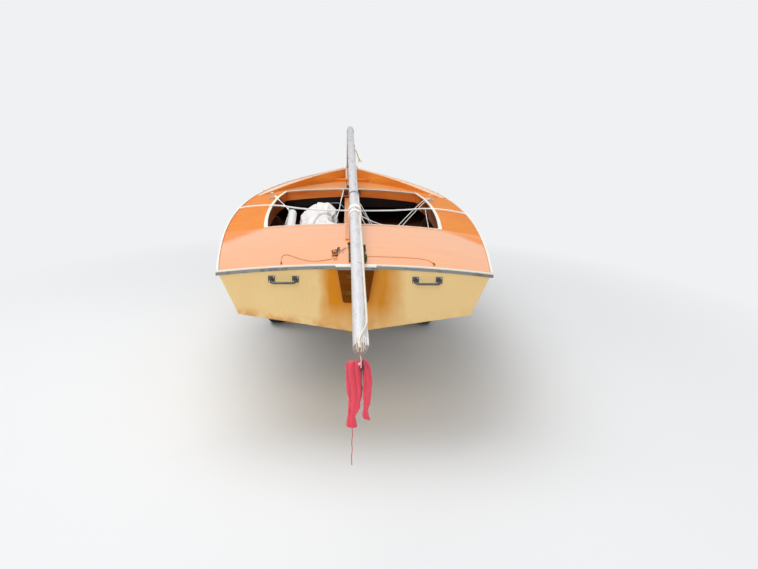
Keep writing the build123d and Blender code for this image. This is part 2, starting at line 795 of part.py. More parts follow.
def mast_step(above):
    """The mast's hinge step: a base with two bored cheeks."""
    row = station(STEP_Y)
    deck_z = row[SHEER_Z] + crown(row[SHEER_B])
    half = STEP_GAP / 2 + STEP_CHEEK_T
    span = (STEP_Y - STEP_L / 2, STEP_Y + STEP_L / 2)
    base = block((-half, half), span, (deck_z - 20, deck_z + 6))
    cheek = block((STEP_GAP / 2, half), span, (deck_z, deck_z + STEP_CHEEK_H))
    cheek = fillet(cheek.edges().filter_by(Axis.X).sort_by(Axis.Z)[2:], 22)
    pin = Pos(0, STEP_Y, deck_z + STEP_CHEEK_H * 0.6) * Rot(0, 90, 0)
    hole = pin * Cylinder(STEP_PIN_R, STEP_GAP * 3)
    return base + (cheek - hole) + (mirrored(cheek) - hole) - above


def deck_tracks(above):
    """Two slim metal tracks on the aft deck beside the mast."""
    made = []
    for x, fore in TRACKS:
        row = STATIONS[0]
        top = row[SHEER_Z] + crown(row[SHEER_B]) + TRACK_H
        strip = block((x - TRACK_W / 2, x + TRACK_W / 2), (TRACK_AFT, fore), (top - 60, top + 14))
        made += ((strip & deck_layer(GAP, TRACK_H)) - above).solids()
    return Compound(children=made)


def fairleads(above):
    """A turned fairlead on each side deck."""
    row = station(FAIRLEAD_Y)
    z = row[SHEER_Z] + crown(row[SHEER_B]) - crown(FAIRLEAD_X)
    base = Pos(FAIRLEAD_X, FAIRLEAD_Y, z + 2) * Cylinder(FAIRLEAD_BASE / 2, 16)
    post = Pos(FAIRLEAD_X, FAIRLEAD_Y, z + FAIRLEAD_H / 2) * Cylinder(9, FAIRLEAD_H)
    ring = Pos(FAIRLEAD_X, FAIRLEAD_Y, z + FAIRLEAD_H + 8) * Rot(90, 0, 20) * Torus(13, 4)
    return both(base + post + ring - above)


def chainplates(above):
    """A bored strap for each shroud, standing through the side deck."""
    row = station(CHAINPLATE_Y)
    z = row[SHEER_Z]
    strap = block(
        (CHAINPLATE_X - CHAINPLATE_T / 2, CHAINPLATE_X + CHAINPLATE_T / 2),
        (CHAINPLATE_Y - CHAINPLATE_W / 2, CHAINPLATE_Y + CHAINPLATE_W / 2),
        (z - 20, z + CHAINPLATE_H),
    )
    strap = fillet(strap.edges().filter_by(Axis.X).sort_by(Axis.Z)[2:], CHAINPLATE_W * 0.45)
    hole = Pos(CHAINPLATE_X, CHAINPLATE_Y, z + CHAINPLATE_H - 12) * Rot(0, 90, 0)
    return both(strap - hole * Cylinder(CHAINPLATE_HOLE_R, 40) - above)


def bow_eye():
    """The ring bolt on the stem that the winch strap hooks to."""
    face_y = HULL_END + SEAM + STEM + GAP
    plate = Pos(0, face_y + 2, BOW_EYE_Z) * Rot(90, 0, 0) * Cylinder(17, 4)
    ring = Pos(0, face_y + 4 + BOW_EYE_R - 3, BOW_EYE_Z) * Rot(0, 90, 0) * Torus(BOW_EYE_R, BOW_EYE_ROD_R)
    keep = block((-60, 60), (face_y + 0.001, face_y + 200), (BOW_EYE_Z - 60, BOW_EYE_Z + 60))
    return plate + (ring & keep)


def mast_radius(y):
    """Radius of the stowed mast at a place along it."""
    if y < MAST_TAPER_FROM:
        share = (y - MAST_HEAD_Y) / (MAST_TAPER_FROM - MAST_HEAD_Y)
        return MAST_HEAD_R + (MAST_MID_R - MAST_HEAD_R) * share
    share = min(1.0, (y - MAST_TAPER_FROM) / (MAST_TAPER_TO - MAST_TAPER_FROM))
    return MAST_MID_R + (MAST_FOOT_R - MAST_MID_R) * share


def mast_z(y):
    """World height of the stowed mast's centre line, which rests on the transom's cap."""
    row = STATIONS[0]
    rest_y = -SEAM - TRANSOM - RUDDER_PAD_T - RAIL_T - GAP
    cap_top = row[SHEER_Z] + crown(row[SHEER_B] + EDGE_TRIM_W) + RAIL_CAP_H
    rest_z = hull_world_z(rest_y, cap_top) + GAP + mast_radius(rest_y) * math.hypot(1, MAST_RISE)
    return rest_z + MAST_RISE * (y - hull_world_y(rest_y, cap_top))


def mast_place(y):
    """A plane across the stowed mast, facing the bow."""
    along = Vector(0, 1, MAST_RISE).normalized()
    return Plane(origin=(0, y, mast_z(y)), x_dir=(1, 0, 0), z_dir=along)


def mast_tube(shrink):
    """The mast's tapered body, thinner by a wall if asked."""
    rings = (
        (MAST_HEAD_Y, MAST_HEAD_R),
        (MAST_TAPER_FROM, MAST_MID_R),
        (MAST_TAPER_TO, MAST_FOOT_R),
        (MAST_FOOT_Y, MAST_FOOT_R),
    )
    faces = [mast_place(y) * Circle(radius - shrink) for y, radius in rings]
    return loft(faces, ruled=True)


def mast():
    """The aluminium mast, an open tapered tube with its sail track."""
    tube = mast_tube(0) - mast_tube(MAST_WALL)
    faces = []
    places = (MAST_HEAD_Y + 20, MAST_TAPER_FROM, MAST_TAPER_TO)
    for y, radius in zip(places, (MAST_HEAD_R, MAST_MID_R, MAST_FOOT_R)):
        out = radius + MAST_TRACK_H / 2 - MAST_TRACK_SUNK
        faces.append(mast_place(y) * Pos(out, 0) * Rectangle(MAST_TRACK_H, MAST_TRACK_W))
    return tube + loft(faces, ruled=True)


def mast_head_plug():
    """The plug in the mast's head."""
    return mast_place(MAST_HEAD_Y - 8) * extrude(Circle(MAST_HEAD_R - MAST_WALL - GAP), MAST_PLUG_LENGTH)


def mast_foot():
    """The forked fitting in the mast's foot."""
    place = mast_place(MAST_FOOT_Y - 30)
    inner = MAST_FOOT_R - MAST_WALL - GAP
    core = place * extrude(Circle(inner), 40)
    ear_x = math.sqrt(inner**2 - (MAST_EAR_W / 2) ** 2) - MAST_EAR_T / 2
    for side in (-1, 1):
        core += place * Pos(side * ear_x, 0, 40) * Box(MAST_EAR_T, MAST_EAR_W, 60)
    return core


def sail_bag():
    """The rolled sail in its canvas, a plain rounded bundle on the floor."""
    low = FLOOR_Z + FLOOR_T + GAP
    faces = []
    for y, half, top in BAG_SECTIONS:
        left, right, waist = BAG_X - half, BAG_X + half, low + (top - low) * 0.45
        edges = [
            Line((left, y, low), (right, y, low)),
            Line((right, y, low), (right, y, waist)),
            ThreePointArc((right, y, waist), (BAG_X, y, top), (left, y, waist)),
            Line((left, y, waist), (left, y, low)),
        ]
        faces.append(Face(Wire(edges)))
    return loft(faces)


def boom():
    """The boom, stowed along the port side of the cockpit."""
    row = station(BOOM_AFT[1])
    slope = (row[CHINE_Z] - row[KEEL_Z]) / row[CHINE_B]
    plank_top = row[KEEL_Z] + PLANK + slope * abs(BOOM_AFT[0])
    start = Vector(*BOOM_AFT, plank_top + (BOOM_R + 5 * GAP) * math.hypot(1, slope))
    end = Vector(*BOOM_FORE)
    place = Plane(origin=start, z_dir=(end - start).normalized())
    length = (end - start).length
    tube = extrude(Circle(BOOM_R) - Circle(BOOM_R - BOOM_WALL), length)
    return place * tube


def rag():
    """The rag tied round the mast's head, as one plain hanging solid."""
    top = mast_z(MAST_HEAD_Y) + MAST_HEAD_R * 0.4
    low = top - RAG_LENGTH
    points = [(-RAG_W / 2, top), (-RAG_W * 0.34, low), (-4, low + RAG_LENGTH * 0.1), (RAG_W / 2, top)]
    cloth = extrude(section(points, MAST_HEAD_Y - RAG_T + 12), RAG_T, dir=(0, 1, 0))
    clear = mast_place(MAST_HEAD_Y - RAG_T) * extrude(Circle(MAST_HEAD_R + GAP), 2 * RAG_T)
    return cloth - clear


def tyre():
    """One tyre, a turned ring with rounded shoulders."""
    half = TYRE_W / 2
    profile = Pos((RIM_R + TYRE_R) / 2, 0) * Rectangle(TYRE_R - RIM_R, TYRE_W)
    outer = profile.vertices().filter_by(lambda v: v.X > RIM_R + 5)
    profile = fillet(outer, TYRE_CORNER)
    ring = revolve(Plane.XZ * profile, Axis.Z)
    return Rot(0, 90, 0) * ring


def wheel():
    """One pressed steel wheel: rim, dished disc with holes, and hub."""
    rim = Cylinder(RIM_R - GAP, RIM_W) - Cylinder(RIM_R - GAP - RIM_T, RIM_W * 2)
    disc = Pos(0, 0, 12) * Cylinder(RIM_R - RIM_T, 6)
    hub = Cylinder(HUB_R, HUB_L)
    cap = Pos(0, 0, HUB_L / 2 + 14) * Cylinder(HUB_R * 0.62, 28)
    bore = Pos(0, 0, -10) * Cylinder(SPINDLE_R + SPINDLE_CLEAR, HUB_L)
    body = rim + disc + hub + cap - bore
    for turn in range(8):
        body -= Rot(0, 0, turn * 45) * Pos(96, 0, 12) * Cylinder(13, 20)
    return Rot(0, 90, 0) * body


def wheels():
    """Tyres and wheels on both ends of the axle."""
    starboard = Pos(TRACK_HALF, AXLE_Y, AXLE_Z)
    made = {}
    made["tyre_starboard"] = starboard * tyre()
    made["wheel_starboard"] = starboard * wheel()
    made["tyre_port"] = mirrored(made["tyre_starboard"])
    made["wheel_port"] = mirrored(made["wheel_starboard"])
    return made


def axle():
    """The axle tube, closed at each end by the root of its spindle."""
    shoulder = TRACK_HALF - HUB_L / 2 - HUB_FACE_CLEAR
    spindle_end = TRACK_HALF + HUB_L / 2 - 12
    half = AXLE_TUBE / 2
    root = block((shoulder - 20, shoulder), (AXLE_Y - half, AXLE_Y + half), (AXLE_Z - half, AXLE_Z + half))
    spindle = Plane(origin=(shoulder - 20, AXLE_Y, AXLE_Z), z_dir=(1, 0, 0)) * extrude(
        Circle(SPINDLE_R), spindle_end - shoulder + 20
    )
    end = root + spindle
    tube = tube_run((-shoulder, AXLE_Y, AXLE_Z), (shoulder, AXLE_Y, AXLE_Z), AXLE_TUBE)
    return tube + end + mirrored(end)


def spring_leaf(reach, end_z, middle_z):
    """One leaf of a spring, as a bent strip between its two ends."""
    aft, fore, top = AXLE_Y - reach, AXLE_Y + reach, end_z + LEAF_T
    edges = [
        ThreePointArc((aft, end_z), (AXLE_Y, middle_z), (fore, end_z)),
        Line((fore, end_z), (fore, top)),
        ThreePointArc((fore, top), (AXLE_Y, middle_z + LEAF_T), (aft, top)),
        Line((aft, top), (aft, end_z)),
    ]
    return extrude(Plane.YZ * Face(Wire(edges)), LEAF_W, dir=(1, 0, 0))


def springs():
    """A leaf spring on each side, from the rail's hangers to the axle."""
    hanger_top = TONGUE_Z - RAIL_TUBE / 2 - GAP
    end_z = hanger_top - HANGER_H
    low = AXLE_Z + AXLE_TUBE / 2 + GAP
    second_end = low + LEAF_T + (end_z - low) * SECOND_LEAF_SHARE**2
    second = spring_leaf(SPRING_REACH * SECOND_LEAF_SHARE, second_end, low + LEAF_T)
    spring = spring_leaf(SPRING_REACH, end_z, low) + second
    for y in (AXLE_Y - SPRING_REACH, AXLE_Y + SPRING_REACH):
        spring += block((0, LEAF_W), (y - HANGER_T / 2, y + HANGER_T / 2), (end_z - 6, hanger_top))
    return both(Pos(RAIL_X - LEAF_W / 2, 0, 0) * spring)


def tube_run(start, end, size):
    """A square tube between two points at one height."""
    a, b = Vector(*start), Vector(*end)
    along = (b - a).normalized()
    place = Plane(origin=a, x_dir=(0, 0, 1), z_dir=along)
    inside = size - 2 * TUBE_WALL
    return place * extrude(Rectangle(size, size) - Rectangle(inside, inside), (b - a).length)


def tongue():
    """The trailer's centre beam, from the rear cross member to the coupler."""
    return tube_run((0, TONGUE_AFT, TONGUE_Z), (0, COUPLER_Y, TONGUE_Z), TUBE)


def frame_rails():
    """The side rails, each with the arm that runs in to the centre beam."""
    rail = tube_run((RAIL_X, TONGUE_AFT, TONGUE_Z), (RAIL_X, RAIL_FORE, TONGUE_Z), RAIL_TUBE)
    inner = TUBE / 2 + GAP + RAIL_TUBE * 0.52
    arm = tube_run((RAIL_X, RAIL_FORE, TONGUE_Z), (inner, RAIL_FORE + ARM_LENGTH, TONGUE_Z), RAIL_TUBE)
    elbow = Pos(RAIL_X, RAIL_FORE, TONGUE_Z) * Cylinder(RAIL_TUBE / 2, RAIL_TUBE)
    return both(rail + arm + elbow)


def cross_members():
    """The cross tubes between the centre beam and the side rails."""
    made = []
    for y in CROSS_PLACES:
        inner, outer = TUBE / 2 + GAP, RAIL_X - RAIL_TUBE / 2 - GAP
        tube = tube_run((inner, y, TONGUE_Z), (outer, y, TONGUE_Z), CROSS_TUBE)
        made += both(tube).solids()
    return Compound(children=made)


def bunks(below):
    """The carpeted bearers under the hull, shaped to its bottom."""
    row = station((BUNK_AFT + BUNK_FORE) / 2)
    high = row[KEEL_Z] + (row[CHINE_Z] - row[KEEL_Z]) * (BUNK_X + BUNK_W / 2) / row[CHINE_B] + 60
    low = station(BUNK_AFT)[KEEL_Z] - BUNK_DROP
    board = block((BUNK_X - BUNK_W / 2, BUNK_X + BUNK_W / 2), (BUNK_AFT, BUNK_FORE), (low - BUNK_H, high))
    return both(on_hull(board - below))


def bunk_posts():
    """The uprights that hold the bunks on the side rails' cross members."""
    made = []
    bunk_low = station(BUNK_AFT)[KEEL_Z] - BUNK_DROP - BUNK_H
    over = on_hull(block((-600, 600), (0, HULL_END), (bunk_low - GAP, bunk_low + 400)))
    for y in BUNK_POSTS:
        low = TONGUE_Z + CROSS_TUBE / 2 + GAP
        high = hull_world_z(y, bunk_low) + BUNK_H
        post = block((BUNK_X - 25, BUNK_X + 25), (y - 20, y + 20), (low, high)) - over
        made += both(post).solids()
    return Compound(children=made)


def fenders():
    """A rolled mudguard over each wheel, on its bracket."""
    outer = Cylinder(FENDER_R + FENDER_T, FENDER_W) - Cylinder(FENDER_R, FENDER_W * 2)
    arc = outer & Pos(FENDER_R, 0, 0) * Box(FENDER_R * 2, FENDER_R * 3, FENDER_W * 2)
    guard = Pos(TRACK_HALF, AXLE_Y, AXLE_Z) * Rot(0, -90, 0) * arc
    inner = RAIL_X + RAIL_TUBE / 2 + GAP
    reach = TRACK_HALF - FENDER_W / 2 + 8
    for y in (AXLE_Y - FENDER_STAYS, AXLE_Y + FENDER_STAYS):
        span = (y - FENDER_STAY_W / 2, y + FENDER_STAY_W / 2)
        guard += block((inner, reach), span, (TONGUE_Z - 20, TONGUE_Z + 18))
    return both(guard)


def winch_post():
    """The upright ahead of the bow, on the centre beam."""
    low = TONGUE_Z + TUBE / 2 + GAP
    high = hull_world_z(POST_Y, 300.0)
    inside = POST_TUBE - 2 * TUBE_WALL
    post = extrude(Rectangle(POST_TUBE, POST_TUBE) - Rectangle(inside, inside), high - low)
    post = Pos(0, POST_Y + POST_TUBE / 2, low) * post
    plate = block((-60, 60), (POST_Y - 30, POST_Y + POST_TUBE + 60), (low, low + 8))
    return post + plate


def bow_stop():
    """The rubber block that the stem rests against."""
    stem_y = HULL_END + STEM + SEAM
    z = hull_world_z(HULL_END, 196.0)
    stop = block((-38, 38), (stem_y - 60, POST_Y - GAP), (z - 32, z + 32))
    return stop - on_hull(block((-200, 200), (0, stem_y + GAP), (-500, 800)))


def winch():
    """A hand winch on the back of the post: drum between two cheeks, with its crank."""
    y = POST_Y + POST_TUBE + GAP
    z = hull_world_z(POST_Y, WINCH_Z)
    half, shaft_y = WINCH_W / 2, y + WINCH_SHAFT
    plate = block((-half, half), (y, y + 6), (z - 60, z + 60))
    cheek = block((half - WINCH_CHEEK_T, half), (y, y + WINCH_REACH), (z - 50, z + 50))
    drum = Pos(0, shaft_y, z) * Rot(0, 90, 0) * Cylinder(WINCH_DRUM_R, WINCH_W)
    shaft = Pos(half + 17, shaft_y, z) * Rot(0, 90, 0) * Cylinder(8, 34)
    arm_x = half + 23
    arm = block((arm_x, arm_x + 8), (shaft_y - 8, shaft_y + 8), (z - 8, z + CRANK_ARM))
    grip = Pos(arm_x + 36, shaft_y, z + CRANK_ARM - 8) * Rot(0, 90, 0) * Cylinder(12, 60)
    return plate + cheek + mirrored(cheek) + drum + shaft + arm + grip


def mast_crutch():
    """The timber post on the winch post that carries the mast's foot end."""
    y = POST_Y + POST_TUBE / 2
    low = hull_world_z(POST_Y, 300.0) + GAP
    high = mast_z(y) + MAST_FOOT_R * 0.5
    board = block((-CRUTCH_W / 2, CRUTCH_W / 2), (y - CRUTCH_T / 2, y + CRUTCH_T / 2), (low, high))
    notch = mast_place(y - 200) * extrude(Circle(MAST_FOOT_R + GAP), 400)
    way_in = Pos(0, MAST_FOOT_R) * extrude(Rectangle(2 * MAST_FOOT_R, 2 * MAST_FOOT_R), 400)
    return board - notch - mast_place(y - 200) * way_in


def coupler():
    """The ball coupler on the beam's end, with its socket open below."""
    half_h = TUBE / 2 + COUPLER_WALL
    low, high = TONGUE_Z - half_h, TONGUE_Z + half_h
    span = (COUPLER_Y - COUPLER_LAP, COUPLER_Y + COUPLER_NOSE)
    body = block((-COUPLER_HALF, COUPLER_HALF), span, (low, high))
    room = TUBE / 2 + GAP
    hollow = (COUPLER_Y - 2 * COUPLER_LAP, COUPLER_Y + GAP)
    body -= block((-room, room), hollow, (low - 20, high - COUPLER_WALL))
    nose = Pos(0, COUPLER_Y + COUPLER_NOSE, TONGUE_Z) * Cylinder(COUPLER_HALF, 2 * half_h)
    socket = Pos(0, COUPLER_Y + COUPLER_NOSE, low) * Cylinder(SOCKET_R, 2 * SOCKET_DEPTH)
    return body + nose - socket


def jack():
    """The tongue jack: tube, bracket, crank and round foot on the ground."""
    x = TUBE / 2 + 12 + JACK_R
    top = TONGUE_Z + JACK_ABOVE
    tube = Pos(x, JACK_Y, (JACK_TUBE_LOW + top) / 2) * Cylinder(JACK_R, top - JACK_TUBE_LOW)
    foot = Pos(x, JACK_Y, JACK_FOOT_T / 2) * Cylinder(JACK_FOOT_R, JACK_FOOT_T)
    leg = Pos(x, JACK_Y, JACK_TUBE_LOW / 2 + 10) * Cylinder(JACK_R * 0.75, JACK_TUBE_LOW + 10)
    bracket = block((TUBE / 2 + GAP, x), (JACK_Y - 40, JACK_Y + 40), (TONGUE_Z - 40, TONGUE_Z + 40))
    crank = Pos(x, JACK_Y, top + 10) * Cylinder(9, 30)
    arm = block((x - 8, x + JACK_CRANK), (JACK_Y - 8, JACK_Y + 8), (top + 16, top + 24))
    return tube + foot + leg + bracket + crank + arm


def over_trim_z(y):
    """World height of the rope where it passes over the cockpit's trim."""
    row = station(y)
    trim_top = row[SHEER_Z] + crown(row[SHEER_B]) - crown(COCKPIT_MID_B) + COCKPIT_TRIM_H
    return hull_world_z(y, trim_top) + ROPE_R + 2 * ROPE_CLEAR


def rope_side(side, y, pull):
    """The rope's points from a trailer rail to the edge of the cockpit, on one side."""
    row = station(y)
    out = row[SHEER_B] + EDGE_TRIM_CLEAR + EDGE_TRIM_W + ROPE_R + ROPE_CLEAR
    rail_top = TONGUE_Z + RAIL_TUBE / 2 + GAP
    sheer_z = hull_world_z(y, row[SHEER_Z])
    return [
        (side * RAIL_X, y, rail_top),
        (side * RAIL_X, y, rail_top + ROPE_RISE),
        (side * (row[CHINE_B] + ROPE_OFF_CHINE), y, hull_world_z(y, row[CHINE_Z])),
        (side * out, y, sheer_z - EDGE_TRIM_DROP - ROPE_BELOW_TRIM),
        (side * out, y, sheer_z + EDGE_TRIM_RISE + ROPE_R + ROPE_CLEAR),
        (side * (COCKPIT_MID_B - COCKPIT_TRIM_OUT), y + pull, over_trim_z(y)),
    ]


def tie_down():
    """The rope over the decks and slack across the cockpit, made fast to the trailer's rails."""
    port = rope_side(-1, ROPE_PORT_Y, ROPE_PULL_PORT)
    starboard = rope_side(1, ROPE_STARBOARD_Y, ROPE_PULL_STARBOARD)
    middle_y = (port[-1][1] + starboard[-1][1]) / 2
    slack = [(x, middle_y, over_trim_z(middle_y) - drop) for x, drop in ROPE_SAGS]
    path = FilletPolyline(*port, *slack, *starboard[::-1], radius=ROPE_BEND)
    return sweep(Plane(path @ 0, z_dir=path % 0) * Circle(ROPE_R), path)


def build_all():
    """Every node of the model by name, in the world frame."""
    space = inside_space()
    above = envelope(GAP)
    boat = {}
    boat.update(hull_bottom())
    boat.update(hull_sides())
    boat.update(decks())
    boat["transom"] = transom()
    boat["stem"] = stem()
    boat["keel_strip"] = keel_strip()
    boat["deck_edge_trim"] = edge_trim()
    boat["transom_rail"] = transom_rail()
    boat["transom_cap"] = transom_cap()
    boat["rudder_pad"] = rudder_pad()
    boat["gudgeons"] = gudgeons()
    boat["handles"] = handles()
    boat["coaming"] = coaming(space)
    boat["cockpit_trim"] = cockpit_trim()
    boat["cockpit_floor"] = cockpit_floor(space)
    boat["floor_frames"] = floor_frames(space)
    boat["centreboard_trunk"] = trunk(space)
    boat["trunk_cap"] = trunk_cap(above)
    boat["centreboard"] = centreboard()
    boat["splash_boards"] = splash_boards(above)
    boat["splash_caps"] = splash_caps(above)
    boat["foredeck_pad"] = foredeck_pad(above)
    boat["mast_step"] = mast_step(above)
    boat["deck_tracks"] = deck_tracks(above)
    boat["fairleads"] = fairleads(above)
    boat["chainplates"] = chainplates(above)
    boat["bow_eye"] = bow_eye()
    boat["sail_bag"] = sail_bag()
    boat["boom"] = boom()
    made = {name: on_hull(shape) for name, shape in boat.items()}
    made["mast"] = mast()
    made["mast_head_plug"] = mast_head_plug()
    made["mast_foot"] = mast_foot()
    made["rag"] = rag()
    made["tie_down"] = tie_down()
    made.update(wheels())
    made["axle"] = axle()
    made["springs"] = springs()
    made["trailer_tongue"] = tongue()
    made["frame_rails"] = frame_rails()
    made["cross_members"] = cross_members()
    made["bunks"] = bunks(above)
    made["bunk_posts"] = bunk_posts()
    made["fenders"] = fenders()
    made["winch_post"] = winch_post()
    made["bow_stop"] = bow_stop()
    made["winch"] = winch()
    made["mast_crutch"] = mast_crutch()
    made["coupler"] = coupler()
    made["jack"] = jack()
    return made


def main():
    """Writes each node, with the origin under the middle of the whole object."""
    aft = MAST_HEAD_Y - 8
    fore = COUPLER_Y + COUPLER_NOSE + COUPLER_HALF
    centre = Pos(0, -(aft + fore) / 2, 0)
    os.makedirs("parts", exist_ok=True)
    for name, shape in build_all().items():
        export_step(centre * shape, os.path.join("parts", name + ".step"))


main()
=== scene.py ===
import logging
import math
from collections.abc import Callable, Sequence
from dataclasses import dataclass
from enum import Enum

import bmesh
import bpy
from mathutils import Euler, Matrix, Vector, noise


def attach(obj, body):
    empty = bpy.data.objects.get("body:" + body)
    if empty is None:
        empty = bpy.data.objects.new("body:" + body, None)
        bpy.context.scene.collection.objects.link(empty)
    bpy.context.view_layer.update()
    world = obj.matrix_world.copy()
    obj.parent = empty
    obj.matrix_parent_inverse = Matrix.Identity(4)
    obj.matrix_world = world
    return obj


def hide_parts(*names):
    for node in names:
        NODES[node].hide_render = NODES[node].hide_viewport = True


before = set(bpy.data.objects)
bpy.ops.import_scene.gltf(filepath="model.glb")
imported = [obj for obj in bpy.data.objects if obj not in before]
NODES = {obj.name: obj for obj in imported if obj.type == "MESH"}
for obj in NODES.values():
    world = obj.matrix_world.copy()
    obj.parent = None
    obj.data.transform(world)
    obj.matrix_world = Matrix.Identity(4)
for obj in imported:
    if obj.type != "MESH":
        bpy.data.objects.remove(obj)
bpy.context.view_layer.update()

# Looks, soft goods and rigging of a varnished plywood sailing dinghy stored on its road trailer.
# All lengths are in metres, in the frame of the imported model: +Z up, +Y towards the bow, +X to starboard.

LOG = logging.getLogger("dinghy")
BOAT = "boat_and_trailer"
HULL_RISE, HULL_TILT, MIDDLE_Y = 0.619, math.radians(2.0), 2.660
MAST_RISE, MAST_Z = 0.1105, 0.960
SMOOTH_UNDER = math.radians(35)
Point = Sequence[float]
Colour = tuple[float, float, float]
Test = Callable[[Vector, Vector], bool]


def srgb(red: int, green: int, blue: int) -> Colour:
    """A colour written as it shows on screen, from 0 to 255, as linear light."""
    shares = (channel / 255 for channel in (red, green, blue))
    return tuple(s / 12.92 if s <= 0.04045 else ((s + 0.055) / 1.055) ** 2.4 for s in shares)


def on_hull(x: float, y: float, z: float) -> Vector:
    """A point of the hull's own frame, as it stands on the trailer.

    Args:
        x: To starboard.
        y: Forward of the transom.
        z: Above the keel at the transom.

    Returns:
        The point in the scene.
    """
    cosine, sine = math.cos(HULL_TILT), math.sin(HULL_TILT)
    return Vector((x, y * cosine - z * sine - MIDDLE_Y, HULL_RISE + y * sine + z * cosine))


def on_mast(y: float, radius: float = 0.0, turn: float = 0.0) -> Vector:
    """A point on or round the stowed mast's centre line.

    Args:
        y: Forward of the transom.
        radius: Distance from the centre line.
        turn: Angle round the mast, from starboard upwards, in degrees.

    Returns:
        The point in the scene.
    """
    angle, lean = math.radians(turn), 1 / math.hypot(1, MAST_RISE)
    centre = Vector((0.0, y - MIDDLE_Y, MAST_Z + MAST_RISE * y))
    up = Vector((0.0, -MAST_RISE * lean, lean))
    return centre + radius * (math.cos(angle) * Vector((1, 0, 0)) + math.sin(angle) * up)


def over(x: float, y: float, rise: float, *names: str) -> Vector:
    """A point at a height over some CAD nodes, as a plumb line finds it.

    Args:
        x: To starboard.
        y: Forward of the transom.
        rise: Height over the surface.
        names: The nodes to look for.

    Returns:
        The point in the scene.
    """
    hits = [NODES[name].ray_cast((x, y - MIDDLE_Y, 3.0), (0, 0, -1)) for name in names]
    return Vector((x, y - MIDDLE_Y, max(place.z for found, place, _, _ in hits if found) + rise))


class Axis(Enum):
    """Directions along which a grain or a brushed finish can run, as the turn that lays it along X."""

    ACROSS = (0.0, 0.0, 0.0)
    ALONG = (0.0, 0.0, math.pi / 2)
    UPRIGHT = (0.0, math.pi / 2, 0.0)
    RAKED = (0.0, 0.0, -2.206)


class Signal:
    """A value in a shader tree, on which plain arithmetic works."""

    def __init__(self, wiring: "Wiring", socket: bpy.types.NodeSocket) -> None:
        """Keeps where the value comes from."""
        self.wiring, self.socket = wiring, socket

    def __add__(self, other: object) -> "Signal":
        """The sum."""
        return self.wiring.calc("ADD", self, other)

    def __mul__(self, other: object) -> "Signal":
        """The product."""
        return self.wiring.calc("MULTIPLY", self, other)

    def __sub__(self, other: object) -> "Signal":
        """The difference."""
        return self.wiring.calc("SUBTRACT", self, other)

    def __rsub__(self, other: float) -> "Signal":
        """The difference from a number."""
        return self.wiring.calc("SUBTRACT", other, self)

    def __abs__(self) -> "Signal":
        """The value without its sign."""
        return self.wiring.calc("ABSOLUTE", self)

    def clamped(self) -> "Signal":
        """The value, kept from 0 to 1 by the step that made it."""
        self.socket.node.use_clamp = True
        return self

    def spread(self, low: float, high: float, to_low: float = 0.0, to_high: float = 1.0) -> "Signal":
        """The value with one range laid over another, and kept inside it."""
        return self.wiring.add("MapRange", Value=self, From_Min=low, From_Max=high, To_Min=to_low, To_Max=to_high)[0]


class Placed:
    """A node in a tree, whose outputs are read by name or number."""

    def __init__(self, wiring: "Wiring", node: bpy.types.Node) -> None:
        """Keeps the node."""
        self.wiring, self.node = wiring, node

    def __getitem__(self, key: str | int) -> Signal:
        """One of its outputs."""
        return Signal(self.wiring, self.node.outputs[key])


